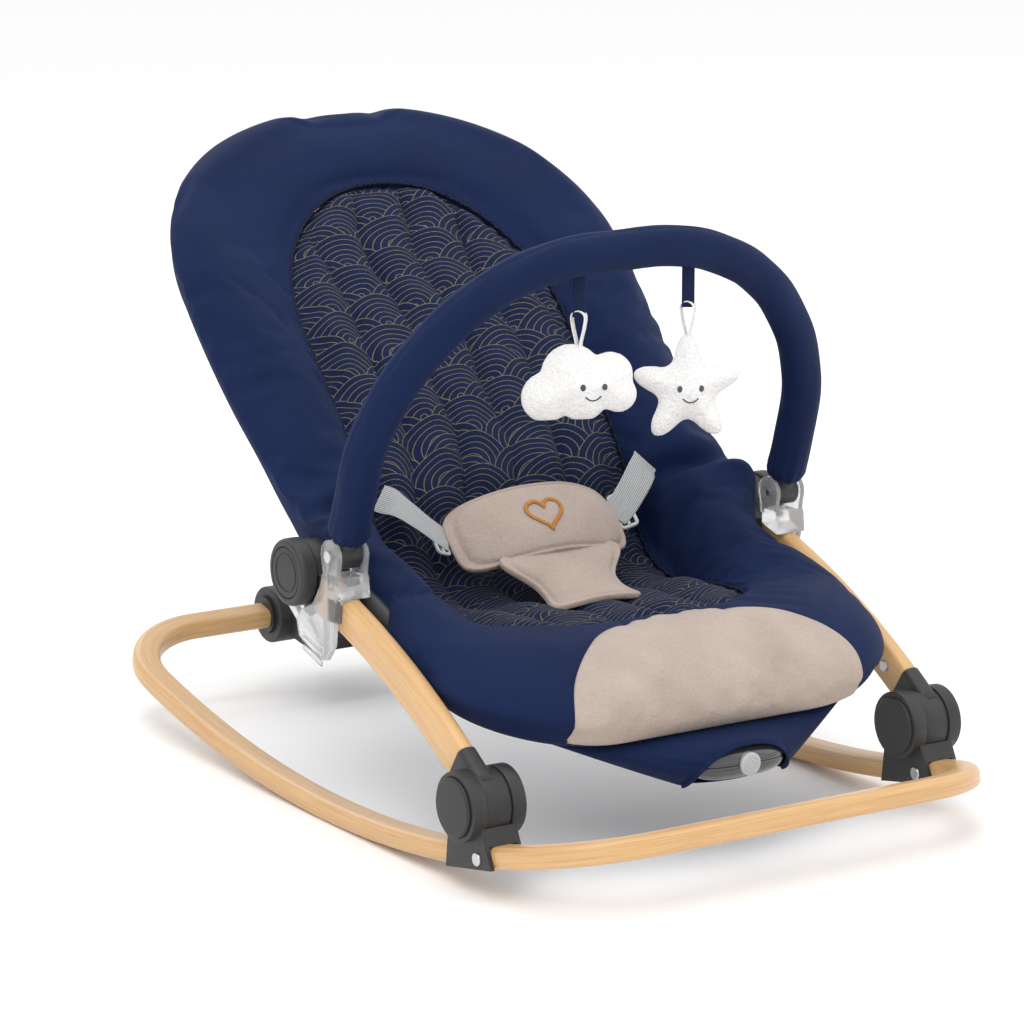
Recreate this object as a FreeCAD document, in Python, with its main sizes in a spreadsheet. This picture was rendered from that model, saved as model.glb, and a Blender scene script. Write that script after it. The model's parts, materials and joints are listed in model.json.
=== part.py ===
import FreeCAD, Part
import math
import os

import Sketcher
from FreeCAD import Placement, Rotation, Vector

# A baby bouncer: a tubular rocker base, two curved legs on fold hinges, a padded seat and a
# reclining backrest, a padded toy bar with two hanging toys, a crotch-and-waist harness and a
# vibration unit in a pocket under the front edge.
# Millimetres. +Z up, the sitter faces -Y, +X is the sitter's left. The origin is on the floor
# under the middle of the object.

doc = FreeCAD.newDocument("bouncer_seat")

SIZES = {
    # rocker base
    "tube_width": (23.5, "base tube, across"),
    "tube_thick": (17.0, "base tube, top to bottom"),
    "tube_corner": (6.0, "base and leg tube, edge radius"),
    "tube_wall": (1.2, "wall of the base and leg tubes"),
    "base_half": (203.5, "middle of the base to a side rail's centreline"),
    "front_y": (-351.0, "front crossbar centreline"),
    "rear_y": (338.5, "rear crossbar centreline"),
    "front_bend": (80.0, "front corner radius of the base"),
    "rear_bend": (77.0, "rear corner radius of the base"),
    "rocker_radius": (1150.0, "radius of the runners' floor line"),
    "rest_flat": (0.2, "how much a runner is flattened where it rests on the floor"),
    "balance_y": (-28.0, "where the runners touch the floor"),
    "spigot_angle": (3.6, "arc of the plug that joins the two base tubes"),
    # fold hinges
    "hinge_y": (-240.0, "fold hinge axis"),
    "hinge_z": (68.0, "fold hinge axis"),
    "barrel_half": (10.7, "half length of the leg's own barrel"),
    "cheek_near": (11.2, "hinge centre to the inside of a cheek"),
    "cheek_far": (23.3, "hinge centre to the outside of a cheek"),
    "cheek_radius": (26.5, "radius of a hinge cheek"),
    "barrel_radius": (25.5, "radius of the leg's barrel"),
    "web_half": (15.5, "half width of the saddle on the base tube"),
    "pin_radius": (4.0, "hinge pin"),
    "pin_inner": (19.5, "hinge centre to the inner end of the pin"),
    "pin_outer": (14.0, "hinge centre to the outer end of the pin"),
    "running_gap": (0.05, "radial clearance of a running fit"),
    "button_radius": (22.6, "fold release button"),
    "button_travel": (4.0, "travel of a release button"),
    "button_proud": (3.0, "how far a release button stands proud"),
    "button_back": (19.2, "hinge centre to the back of the button"),
    "button_floor": (14.8, "hinge centre to the floor under the button"),
    "button_hollow": (19.0, "radius of the hollow in the button's back"),
    "button_post": (8.0, "radius of the post inside the button's spring"),
    "cover_radius": (22.6, "inner hinge cover"),
    "cover_back": (20.3, "hinge centre to the back of the inner cover"),
    "cover_front": (25.5, "hinge centre to the front of the inner cover"),
    "rivet_radius": (3.0, "rivet through a bracket"),
    "rivet_head": (5.2, "rivet head"),
    "rivet_dome": (1.8, "height of a rivet head"),
    "rivet_back": (18.5, "hinge axis to the rivet, along Y"),
    # legs
    "leg_x": (206.8, "centreline of a leg"),
    "leg_thick": (15.0, "leg tube, across"),
    "leg_tall": (31.0, "leg tube, top to bottom"),
    "leg_radius": (700.0, "radius of the leg's curve"),
    "leg_axis_y": (161.9, "centre of the leg's curve"),
    "leg_axis_z": (-493.6, "centre of the leg's curve"),
    "leg_low_angle": (33.4, "lower end of the leg"),
    "leg_high_angle": (14.0, "upper end of the leg"),
    "tongue_angle": (30.6, "upper end of the sleeve's tongue inside the leg"),
    "screw_angle": (31.3, "screw that fastens the leg"),
    "screw_radius": (2.0, "screw that fastens the leg"),
    "screw_head": (4.6, "its head"),
    # recline hinges
    "recline_y": (-3.0, "recline axis"),
    "recline_z": (197.0, "recline axis"),
    "housing_near": (196.8, "recline housing, inner face"),
    "housing_far": (216.4, "recline housing, outer face"),
    "housing_radius": (24.0, "recline housing"),
    "disc_near": (216.8, "recline disc, inner face"),
    "disc_far": (231.5, "recline disc, outer face"),
    "disc_radius": (26.5, "recline disc"),
    "disc_button_radius": (20.0, "recline button"),
    "axle_radius": (5.0, "recline axle"),
    "grip_half": (10.5, "half the width of the disc's grip on the backrest hoop"),
    "grip_reach": (50.0, "recline axis to the end of that grip"),
    # hoops inside the cover
    "hoop_radius": (8.0, "seat hoop tube"),
    "hoop_wall": (1.0, "wall of both hoop tubes"),
    "seat_tilt": (19.5, "slope of the seat hoop"),
    "seat_half": (186.0, "half width of the seat hoop"),
    "seat_reach": (262.0, "recline axis to the front of the seat hoop"),
    "seat_bend": (90.0, "corner radius of the seat hoop"),
    "back_tilt": (44.0, "slope of the backrest at rest"),
    "back_tube": (9.0, "radius of the backrest hoop tube"),
    "back_half": (190.0, "half width of the backrest hoop"),
    "back_reach": (413.0, "recline axis to the top of the backrest hoop"),
    "back_bend": (150.0, "corner radius of the backrest hoop"),
    # padding
    "seat_roll_wide": (75.0, "padded seat border, across"),
    "seat_roll_thick": (46.0, "padded seat border, thickness"),
    "back_roll_wide": (82.0, "padded backrest border, across"),
    "back_roll_thick": (40.0, "padded backrest border, thickness"),
    "roll_corner": (16.0, "edge radius of the padded borders"),
    "seat_out": (12.0, "how far the seat border stands outside its hoop's centreline"),
    "border_out": (18.0, "how far the backrest border stands outside its hoop's centreline"),
    "sling_half": (122.5, "half width of the seat liner"),
    "liner_half": (125.5, "half width of the backrest liner"),
    "liner_gap": (0.5, "backrest liner to the border round it"),
    "patch_half": (134.0, "half width of the velour patch"),
    "patch_thick": (3.0, "velour patch"),
    # toy bar
    "bar_y": (-52.0, "toy bar pivot"),
    "bar_z": (218.0, "toy bar pivot"),
    "bar_tilt": (108.0, "direction of the toy bar from +Y"),
    "bar_half": (206.8, "half width of the toy bar"),
    "bar_reach": (239.0, "pivot to the top of the toy bar"),
    "bar_bend": (180.0, "corner radius of the toy bar"),
    "bar_rod": (5.0, "radius of the rod in the toy bar"),
    "bar_cover": (16.0, "radius of the padded toy bar cover"),
    "clip_plate": (4.0, "thickness of a clip plate"),
    "clip_gap": (10.0, "leg centreline to a clip plate"),
    "clip_ear": (13.0, "radius of a clip's ear"),
    "clip_screw": (2.5, "radius of the toy bar's pivot screw"),
    "toy_turn": (-25.0, "how the hanging toys are turned about Z"),
    "star_x": (60.0, "star's strap"),
    "cloud_x": (-42.0, "cloud's strap"),
    "strap_drop": (30.0, "toy bar to the end of a toy's navy strap"),
    "ribbon_drop": (51.0, "toy bar to the end of a toy's ribbon"),
    # rocking stop
    "stop_half": (55.0, "half length of the rocking stop"),
    "stop_radius": (24.5, "outside radius of the rocking stop"),
    "bush_radius": (16.0, "bush on the rear crossbar"),
    "foot_turn": (195.0, "direction of the foot from +Y, folded up"),
    "foot_reach": (60.0, "crossbar centre to the end of the foot"),
    "foot_half": (43.0, "half length of the foot"),
    # vibration unit
    "unit_y": (-267.0, "middle of the vibration unit"),
    "unit_z": (79.0, "middle of the vibration unit"),
    "unit_wide": (88.0, "vibration unit, across"),
    "unit_long": (56.0, "vibration unit, front to back"),
    "unit_tall": (28.0, "vibration unit, top to bottom"),
    "unit_wall": (2.0, "wall of the vibration unit"),
    "unit_button": (9.0, "radius of its push button"),
    "unit_corner": (24.0, "corner radius of the vibration unit"),
    "weight_radius": (8.0, "radius of the eccentric weight"),
    "shaft_back": (14.0, "middle of the unit to the motor's shaft, to the front"),
}

sheet = doc.addObject("Spreadsheet::Sheet", "Sizes")
for row, (alias, (value, meaning)) in enumerate(SIZES.items(), start=1):
    sheet.set("A%d" % row, meaning)
    sheet.set("B%d" % row, str(value))
    sheet.setAlias("B%d" % row, alias)
doc.recompute()
S = {alias: float(sheet.get(alias)) for alias in SIZES}

SIDES = ((1, "left"), (-1, "right"))
NODES = []


# ---------------------------------------------------------------- building blocks

def new_body(label):
    """A sub-part: its Label is its node and its file."""
    body = doc.addObject("PartDesign::Body", label)
    body.Label = label
    body.AllowCompound = True
    body.Placement = Placement()
    NODES.append(body)
    return body


def origin_plane(body, role):
    return next(f for f in body.Origin.OriginFeatures if f.Role == role)


def bind(thing, prop, value):
    """Sets a property from a sheet expression (text) or from a number."""
    if isinstance(value, str):
        thing.setExpression(prop, value)
    else:
        setattr(thing, prop, value)


def sketch_on(body, role, at=(0, 0, 0), axis=(0, 0, 1), turn=0.0):
    """A sketch on one of the body's own planes, moved and turned in that plane's frame."""
    sketch = body.newObject("Sketcher::SketchObject", "sketch")
    sketch.AttachmentSupport = [(origin_plane(body, role), "")]
    sketch.MapMode = "FlatFace"
    sketch.AttachmentOffset = Placement(Vector(*at), Rotation(Vector(*axis), turn))
    return sketch


def radial_sketch(body, axis_y, axis_z, angle):
    """A sketch that holds the line parallel to X through (axis_y, axis_z): its x is X and its
    y points away from that line, straight up turned by angle towards -Y."""
    return sketch_on(body, "XZ_Plane", (0, axis_z, -axis_y), (1, 0, 0), angle)


def circle(sketch, x, y, radius):
    """A circle whose radius is bound when it is a sheet expression."""
    start = S[radius.split(".")[1]] if isinstance(radius, str) else radius
    shape = sketch.addGeometry(Part.Circle(Vector(x, y, 0), Vector(0, 0, 1), start), False)
    for direction, place in (("DistanceX", x), ("DistanceY", y)):
        sketch.addConstraint(Sketcher.Constraint(direction, -1, 1, shape, 3, place))
    size = sketch.addConstraint(Sketcher.Constraint("Radius", shape, start))
    if isinstance(radius, str):
        sketch.setExpression("Constraints[%d]" % size, radius)


def polygon(sketch, points):
    """A closed outline of straight runs."""
    ring = points + points[:1]
    for a, b in zip(ring, ring[1:]):
        sketch.addGeometry(Part.LineSegment(Vector(*a, 0), Vector(*b, 0)), False)
    last = len(points) - 1
    first = sketch.GeometryCount - len(points)
    for i in range(len(points)):
        following = 0 if i == last else i + 1
        sketch.addConstraint(Sketcher.Constraint("Coincident", first + i, 2, first + following, 1))


def rounded_rect(sketch, x, y, wide, tall, corner):
    """A rectangle with round corners, centred on (x, y)."""
    dx, dy = wide / 2, tall / 2
    corners = ((dx - corner, dy - corner, 0), (corner - dx, dy - corner, 90),
               (corner - dx, corner - dy, 180), (dx - corner, corner - dy, 270))
    ends = []
    for cx, cy, start in corners:
        centre = Vector(x + cx, y + cy, 0)
        around = Part.Circle(centre, Vector(0, 0, 1), corner)
        a, b = math.radians(start), math.radians(start + 90)
        sketch.addGeometry(Part.ArcOfCircle(around, a, b), False)
        ends.append([centre + Vector(math.cos(t), math.sin(t), 0) * corner for t in (a, b)])
    for this, following in zip(ends, ends[1:] + ends[:1]):
        sketch.addGeometry(Part.LineSegment(this[1], following[0]), False)


def tube_section(sketch, x, y, wide, tall):
    """The ring-shaped section of the base and leg tubes."""
    wall, corner = S["tube_wall"], S["tube_corner"]
    rounded_rect(sketch, x, y, wide, tall, corner)
    rounded_rect(sketch, x, y, wide - 2 * wall, tall - 2 * wall, corner - wall)


def pad(body, sketch, length, backwards=False, both_ways=False):
    feature = body.newObject("PartDesign::Pad", "pad")
    feature.Profile = sketch
    bind(feature, "Length", length)
    feature.Reversed = backwards
    feature.Midplane = both_ways
    return feature


def cut(body, sketch, length, both_ways=False):
    """A pocket along the sketch's own normal."""
    doc.recompute()
    before = body.Shape.Volume
    feature = body.newObject("PartDesign::Pocket", "pocket")
    feature.Profile = sketch
    bind(feature, "Length", length)
    feature.Reversed = True
    feature.Midplane = both_ways
    doc.recompute()
    if body.Shape.Volume > before - 1e-3:
        raise RuntimeError("a pocket in %s removes nothing" % body.Label)
    return feature


def turned(body, sketch, angle, cutting=False, backwards=False, both_ways=False):
    """A revolution, or a groove, about the sketch's own x axis."""
    if cutting:
        doc.recompute()
    feature = body.newObject("PartDesign::Groove" if cutting else "PartDesign::Revolution", "turn")
    feature.Profile = sketch
    feature.ReferenceAxis = (sketch, ["H_Axis"])
    feature.Angle = angle
    feature.Reversed = backwards
    feature.Midplane = both_ways
    return feature


def slab(body, side, near, far, draw, cutting=False):
    """A slice across X between two distances from the middle, on the left (1) or right (-1).
    near and far are sheet expressions; draw puts the outline, in Y and Z, on the sketch."""
    sketch = sketch_on(body, "YZ_Plane")
    bind(sketch, ".AttachmentOffset.Base.z", near if side > 0 else "-(%s)" % far)
    draw(sketch)
    length = "(%s) - (%s)" % (far, near)
    return cut(body, sketch, length) if cutting else pad(body, sketch, length)


def mirrored(body, features):
    """The features again on the other side of the middle plane."""
    feature = body.newObject("PartDesign::Mirrored", "other_side")
    feature.Originals = features
    feature.MirrorPlane = (origin_plane(body, "YZ_Plane"), [""])
    body.Tip = feature
    return feature


def primitive(body, kind, centre, direction, cutting=False, **sizes):
    """A cylinder, cone, sphere or box, its own z along direction, starting at centre."""
    feature = body.newObject("PartDesign::%s%s" % ("Subtractive" if cutting else "Additive", kind), kind)
    feature.AttachmentSupport = [(origin_plane(body, "XY_Plane"), "")]
    feature.MapMode = "FlatFace"
    turn = Rotation(Vector(0, 0, 1), Vector(*direction))
    feature.AttachmentOffset = Placement(Vector(*centre), turn)
    for prop, value in sizes.items():
        bind(feature, prop, value)
    return feature


def soften(body, radius, wanted):
    """Rounds the edges that the test wanted picks, and keeps the body sharp if that fails."""
    doc.recompute()
    base = body.Tip
    names = ["Edge%d" % (i + 1) for i, edge in enumerate(base.Shape.Edges) if wanted(edge)]
    if not names:
        raise RuntimeError("no edge to round on %s" % body.Label)
    feature = body.newObject("PartDesign::Fillet", "round")
    feature.Base = (base, names)
    feature.Radius = radius
    doc.recompute()
    if "Invalid" in feature.State or not feature.Shape.isValid():
        print("could not round", body.Label)
        body.removeObject(feature)
        doc.removeObject(feature.Name)
        body.Tip = base
        doc.recompute()


def round_edge(radius, x=None):
    """Picks full circles of this radius, at this place along X."""
    def wanted(edge):
        curve = edge.Curve
        if not isinstance(curve, Part.Circle) or abs(curve.Radius - radius) > 1e-3:
            return False
        return x is None or abs(curve.Center.x - x) < 1e-3
    return wanted


def disc(radius, y=None, z=None):
    """An outline for slab: a circle, on the fold hinge unless it is placed."""
    def draw(sketch):
        circle(sketch, S["hinge_y"] if y is None else y, S["hinge_z"] if z is None else z, radius)
    return draw


def outline(points):
    return lambda sketch: polygon(sketch, points)


def polar(y, z, angle, distance, across=0.0):
    """A point in the YZ plane, distance along angle from (y, z) and across to its left."""
    c, s = math.cos(math.radians(angle)), math.sin(math.radians(angle))
    return (y + distance * c - across * s, z + distance * s + across * c)


def leg_point(angle, across=0.0):
    """A point on a leg's curve at an angle from the top of its circle, across towards outside."""
    r = S["leg_radius"] + across
    t = math.radians(angle)
    return (S["leg_axis_y"] - r * math.sin(t), S["leg_axis_z"] + r * math.cos(t))


# ---------------------------------------------------------------- rocker base

rail_radius = S["rocker_radius"] - S["tube_thick"] / 2
hinge_angle = math.degrees(math.asin((S["hinge_y"] - S["balance_y"]) / rail_radius))


def rise_angle(reach, bend):
    """How steep a rail is where its corner starts, so that the crossbar ends up at reach."""
    along = abs(reach - S["balance_y"])
    return math.degrees(math.asin(along / math.hypot(rail_radius, bend)) - math.atan2(bend, rail_radius))


def base_tube(label, end_y, bend, facing):
    """Half of the base: a crossbar, two corners bent in the slope's own plane, and two rails
    that follow the rocker's circle back to the fold hinges. facing is 1 for the rear half."""
    body = new_body(label)
    rise = rise_angle(end_y, bend)
    slope = math.radians(rise)
    end_z = S["rocker_radius"] - rail_radius * math.cos(slope) + bend * math.sin(slope)
    straight = S["base_half"] - bend
    centre = (end_y - bend * facing * math.cos(slope), end_z - bend * math.sin(slope), straight)
    corner = sketch_on(body, "YZ_Plane", centre, turn=rise if facing > 0 else 180 - rise)
    tube_section(corner, bend, 0, S["tube_width"], S["tube_thick"])
    crossbar = pad(body, corner, straight, backwards=True)
    bent = body.newObject("PartDesign::Revolution", "corner")
    bent.Profile = corner
    bent.ReferenceAxis = (corner, ["V_Axis"])
    bent.Angle = 90
    bent.Reversed = True
    rail_section = radial_sketch(body, S["balance_y"], S["rocker_radius"], hinge_angle)
    tube_section(rail_section, S["base_half"], -rail_radius, S["tube_width"], S["tube_thick"])
    rail = turned(body, rail_section, rise - facing * hinge_angle, backwards=facing < 0)
    mirrored(body, [crossbar, bent, rail])
    return body, end_z, rise


rear_tube, rear_z, rear_rise = base_tube("rear_base_tube", S["rear_y"], S["rear_bend"], 1)
front_tube, front_z, front_rise = base_tube("front_base_tube", S["front_y"], S["front_bend"], -1)


for side, name in SIDES:
    low_corner = (side * S["base_half"] - S["tube_width"] / 2, S["balance_y"] - 40, -S["tube_wall"])
    primitive(rear_tube, "Box", low_corner, (0, 0, 1), cutting=True, Length="Sizes.tube_width",
              Width=80.0, Height="Sizes.tube_wall + Sizes.rest_flat")


def rail_point(y, across=0.0):
    """A point on a rail's curve at y, across towards the floor."""
    t = math.asin((y - S["balance_y"]) / rail_radius)
    r = rail_radius + across
    return (S["balance_y"] + r * math.sin(t), S["rocker_radius"] - r * math.cos(t))


rivet_y, rivet_z = rail_point(S["hinge_y"] - S["rivet_back"])
for side, name in SIDES:
    slab(front_tube, side, "Sizes.base_half - Sizes.tube_width", "Sizes.base_half + Sizes.tube_width",
         disc("Sizes.rivet_radius", rivet_y, rivet_z), cutting=True)


def joining_spigots():
    """A plug inside each rail that joins the rear and front tubes under the hinge."""
    body = new_body("joining_spigots")
    fit = 2 * (S["tube_wall"] + S["running_gap"])
    section = radial_sketch(body, S["balance_y"], S["rocker_radius"], hinge_angle)
    rounded_rect(section, S["base_half"], -rail_radius, S["tube_width"] - fit, S["tube_thick"] - fit,
                 S["tube_corner"] - S["tube_wall"])
    plug = turned(body, section, S["spigot_angle"], both_ways=True)
    mirrored(body, [plug])
    for side, name in SIDES:
        slab(body, side, "Sizes.base_half - Sizes.tube_width", "Sizes.base_half + Sizes.tube_width",
             disc("Sizes.rivet_radius", rivet_y, rivet_z), cutting=True)


def lower_bracket(side, name):
    """A saddle on the base tube that carries two cheeks, with the hinge barrel between them."""
    body = new_body("lower_bracket_%s" % name)
    hinge = "Sizes.base_half"
    y, z = S["hinge_y"], S["hinge_z"]
    slab(body, side, hinge + " + Sizes.cheek_near", hinge + " + Sizes.cheek_far", disc("Sizes.cheek_radius"))
    slab(body, side, hinge + " - Sizes.cheek_far", hinge + " - Sizes.cheek_near", disc("Sizes.cheek_radius"))
    front_foot, rear_foot = rail_point(y - 37), rail_point(y + 25)
    saddle = [(y - 21, z - 8), (front_foot[0], front_foot[1] - S["tube_thick"] / 2),
              (rear_foot[0], rear_foot[1] - S["tube_thick"] / 2), (y + 20, z - 8)]
    slab(body, side, hinge + " - Sizes.web_half", hinge + " + Sizes.web_half", outline(saddle))
    slab(body, side, hinge + " - Sizes.cheek_near", hinge + " + Sizes.cheek_near",
         disc(S["barrel_radius"] + 0.6), cutting=True)
    passage = radial_sketch(body, S["balance_y"], S["rocker_radius"], hinge_angle)
    clear = S["tube_width"] / 2 + 0.05
    above, below = S["tube_thick"] / 2 + 0.05, S["tube_thick"]
    polygon(passage, [(side * S["base_half"] - clear, above - rail_radius),
                      (side * S["base_half"] + clear, above - rail_radius),
                      (side * S["base_half"] + clear, -below - rail_radius),
                      (side * S["base_half"] - clear, -below - rail_radius)])
    turned(body, passage, 8, cutting=True, both_ways=True)
    slab(body, side, hinge + " - Sizes.pin_inner", hinge + " + Sizes.button_floor",
         disc("Sizes.pin_radius"), cutting=True)
    slab(body, side, hinge + " + Sizes.button_floor", hinge + " + Sizes.cheek_far",
         disc(S["button_radius"] + 0.3), cutting=True)
    slab(body, side, hinge + " - Sizes.cheek_far", hinge + " - Sizes.cover_back",
         disc("Sizes.cover_radius"), cutting=True)
    slab(body, side, hinge + " - Sizes.web_half", hinge + " + Sizes.web_half",
         disc("Sizes.rivet_radius", rivet_y, rivet_z), cutting=True)
    outer = side * (S["base_half"] + S["cheek_far"])
    inner = side * (S["base_half"] - S["cheek_far"])
    soften(body, 1.5, lambda e: round_edge(S["cheek_radius"], outer)(e)
           or round_edge(S["cheek_radius"], inner)(e))


def hinge_pins():
    body = new_body("hinge_pins")
    for side, name in SIDES:
        slab(body, side, "Sizes.base_half - Sizes.pin_inner", "Sizes.base_half + Sizes.pin_outer",
             disc("Sizes.pin_radius"))


def bracket_rivets():
    """One rivet through each bracket, tube and spigot, with a domed head at both ends."""
    body = new_body("bracket_rivets")
    for side, name in SIDES:
        slab(body, side, "Sizes.base_half - Sizes.web_half", "Sizes.base_half + Sizes.web_half",
             disc("Sizes.rivet_radius", rivet_y, rivet_z))
        outer, inner = "Sizes.base_half + Sizes.web_half", "Sizes.base_half - Sizes.web_half"
        slab(body, side, outer, outer + " + Sizes.rivet_dome", disc("Sizes.rivet_head", rivet_y, rivet_z))
        slab(body, side, inner + " - Sizes.rivet_dome", inner, disc("Sizes.rivet_head", rivet_y, rivet_z))
    head_far = S["web_half"] + S["rivet_dome"]
    ends = [side * (S["base_half"] + out * head_far) for side in (1, -1) for out in (1, -1)]
    soften(body, 1.2, lambda e: any(round_edge(S["rivet_head"], x)(e) for x in ends))


def hinge_covers():
    """Plain caps in the inner cheeks."""
    body = new_body("hinge_covers")
    for side, name in SIDES:
        slab(body, side, "Sizes.base_half - Sizes.cover_front", "Sizes.base_half - Sizes.cover_back",
             disc("Sizes.cover_radius"))
    front = S["base_half"] - S["cover_front"]
    soften(body, 2.0, lambda e: any(round_edge(S["cover_radius"], side * front)(e) for side in (1, -1)))


def fold_button(side, name):
    """The release button in the outer cheek, hollow behind for its spring."""
    body = new_body("fold_button_%s" % name)
    back, middle = "Sizes.base_half + Sizes.button_back", "Sizes.base_half + Sizes.cheek_far"
    slab(body, side, back, middle + " + Sizes.button_proud", disc("Sizes.button_radius"))
    slab(body, side, back, middle, disc("Sizes.button_hollow"), cutting=True)
    slab(body, side, back, middle, disc("Sizes.button_post"))
    face = side * (S["base_half"] + S["cheek_far"] + S["button_proud"])
    soften(body, 2.0, round_edge(S["button_radius"], face))


def coil_spring(label, radius, wire, turns, height, places):
    """Compression springs along X, at the length that they have when the button is pressed in,
    so that they never meet the button."""
    body = doc.addObject("Part::Feature", label)
    body.Label = label
    coil = Part.makeHelix((height - 2 * wire) / turns, height - 2 * wire, radius)
    ring = Part.Wire([Part.makeCircle(wire, Vector(radius, 0, 0), Vector(0, 1, 0))])
    spring = Part.Wire(coil.Edges).makePipeShell([ring], True, True)
    solids = []
    for side, x, y, z in places:
        one = spring.copy()
        turn = Rotation(Vector(0, 0, 1), Vector(side, 0, 0))
        one.Placement = Placement(Vector(side * (x + wire), y, z), turn)
        solids.append(one)
    body.Shape = Part.makeCompound(solids)
    body.Placement = Placement()
    NODES.append(body)


joining_spigots()
hinge_pins()
bracket_rivets()
hinge_covers()
for side, name in SIDES:
    lower_bracket(side, name)
    fold_button(side, name)
spring_x = S["base_half"] + S["button_floor"] + 0.2
coil_spring("fold_button_springs", 14.0, 0.8, 2, 4.2,
            [(side, spring_x, S["hinge_y"], S["hinge_z"]) for side, name in SIDES])


def rear_bush():
    """The round seat on the rear crossbar that the rocking stop turns on."""
    body = new_body("rear_bush")
    ring = sketch_on(body, "YZ_Plane", (S["rear_y"], rear_z, 0), turn=rear_rise)
    circle(ring, 0, 0, "Sizes.bush_radius")
    pad(body, ring, "2 * Sizes.stop_half + 6", both_ways=True)
    hole = sketch_on(body, "YZ_Plane", (S["rear_y"], rear_z, 0), turn=rear_rise)
    rounded_rect(hole, 0, 0, S["tube_width"], S["tube_thick"], S["tube_corner"])
    cut(body, hole, "2 * Sizes.stop_half + 10", both_ways=True)


def rocking_stop():
    """A sleeve round the rear crossbar with a foot that turns down to stop the rocking."""
    body = new_body("rocking_stop")
    sleeve = sketch_on(body, "YZ_Plane", (S["rear_y"], rear_z, 0))
    circle(sleeve, 0, 0, "Sizes.stop_radius")
    pad(body, sleeve, "2 * Sizes.stop_half", both_ways=True)
    foot = sketch_on(body, "YZ_Plane", (S["rear_y"], rear_z, 0), turn=S["foot_turn"])
    end = S["foot_reach"]
    polygon(foot, [(0, -13), (end - 20, -9), (end, -7), (end, 7), (end - 20, 9), (0, 13)])
    pad(body, foot, "2 * Sizes.foot_half", both_ways=True)
    bore = sketch_on(body, "YZ_Plane", (S["rear_y"], rear_z, 0))
    circle(bore, 0, 0, S["bush_radius"] + S["running_gap"])
    cut(body, bore, "2 * Sizes.stop_half + 10", both_ways=True)
    soften(body, 2.0, lambda e: any(round_edge(S["stop_radius"], x)(e)
                                    for x in (S["stop_half"], -S["stop_half"])))


def stop_pad():
    """The rubber sole on the end of the foot."""
    body = new_body("stop_pad")
    sole = sketch_on(body, "YZ_Plane", (S["rear_y"], rear_z, 0), turn=S["foot_turn"])
    end = S["foot_reach"]
    polygon(sole, [(end, -7), (end + 5.2, -5.5), (end + 5.2, 5.5), (end, 7)])
    pad(body, sole, "2 * Sizes.foot_half", both_ways=True)


rear_bush()
rocking_stop()
stop_pad()

# ---------------------------------------------------------------- legs


def leg(side, name):
    """A flat-sided tube on edge, curved upwards, with a screw hole near its lower end."""
    body = new_body("leg_%s" % name)
    section = radial_sketch(body, S["leg_axis_y"], S["leg_axis_z"], S["leg_high_angle"])
    tube_section(section, side * S["leg_x"], S["leg_radius"], S["leg_thick"], S["leg_tall"])
    turned(body, section, S["leg_low_angle"] - S["leg_high_angle"])
    slab(body, side, "Sizes.leg_x - Sizes.leg_thick / 2 - 1", "Sizes.leg_x",
         disc("Sizes.screw_radius", *leg_point(S["screw_angle"])), cutting=True)


def leg_socket(body, side, from_angle, angle):
    """Cuts the leg's own outline out of a plastic part, over an arc of the leg's curve."""
    hollow = radial_sketch(body, S["leg_axis_y"], S["leg_axis_z"], from_angle)
    rounded_rect(hollow, side * S["leg_x"], S["leg_radius"], S["leg_thick"], S["leg_tall"], S["tube_corner"])
    turned(body, hollow, angle, cutting=True)


def upper_sleeve(side, name):
    """The leg's half of the fold hinge: barrel, sleeve round the leg and a tongue inside it."""
    body = new_body("upper_sleeve_%s" % name)
    hinge = "Sizes.base_half"
    slab(body, side, hinge + " - Sizes.barrel_half", hinge + " + Sizes.barrel_half",
         disc("Sizes.barrel_radius"))
    mouth, root = leg_point(32.4, 18), leg_point(35.6, 17)
    heel, lip = leg_point(35.6, -17), leg_point(31.9, -18)
    slab(body, side, "Sizes.leg_x - 10", "Sizes.leg_x + 10", outline([mouth, root, heel, lip]))
    slab(body, side, hinge + " + Sizes.barrel_half", hinge + " + 16", disc(S["cheek_radius"] + 0.6),
         cutting=True)
    leg_socket(body, side, 25.0, S["leg_low_angle"] - 25.0)
    tongue = radial_sketch(body, S["leg_axis_y"], S["leg_axis_z"], S["tongue_angle"])
    fit = 2 * (S["tube_wall"] + S["running_gap"])
    rounded_rect(tongue, side * S["leg_x"], S["leg_radius"], S["leg_thick"] - fit, S["leg_tall"] - fit,
                 S["tube_corner"] - S["tube_wall"])
    turned(body, tongue, S["leg_low_angle"] - S["tongue_angle"])
    slab(body, side, hinge + " - Sizes.cheek_near", hinge + " + Sizes.cheek_near",
         disc(S["pin_radius"] + S["running_gap"]), cutting=True)
    slab(body, side, "Sizes.leg_x - Sizes.leg_thick / 2", "Sizes.leg_x + 2",
         disc("Sizes.screw_radius", *leg_point(S["screw_angle"])), cutting=True)


def leg_screws():
    """One screw in the inner face of each leg, into the sleeve's tongue."""
    body = new_body("leg_screws")
    y, z = leg_point(S["screw_angle"])
    head_at = S["leg_x"] - S["leg_thick"] / 2 - 1.6
    for side, name in SIDES:
        skin = "Sizes.leg_x - Sizes.leg_thick / 2"
        slab(body, side, skin, "Sizes.leg_x", disc("Sizes.screw_radius", y, z))
        slab(body, side, str(head_at), skin, disc("Sizes.screw_head", y, z))
    soften(body, 1.0, lambda e: any(round_edge(S["screw_head"], side * head_at)(e) for side in (1, -1)))


for side, name in SIDES:
    leg(side, name)
    upper_sleeve(side, name)
leg_screws()

# ---------------------------------------------------------------- hoops and padding


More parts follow.
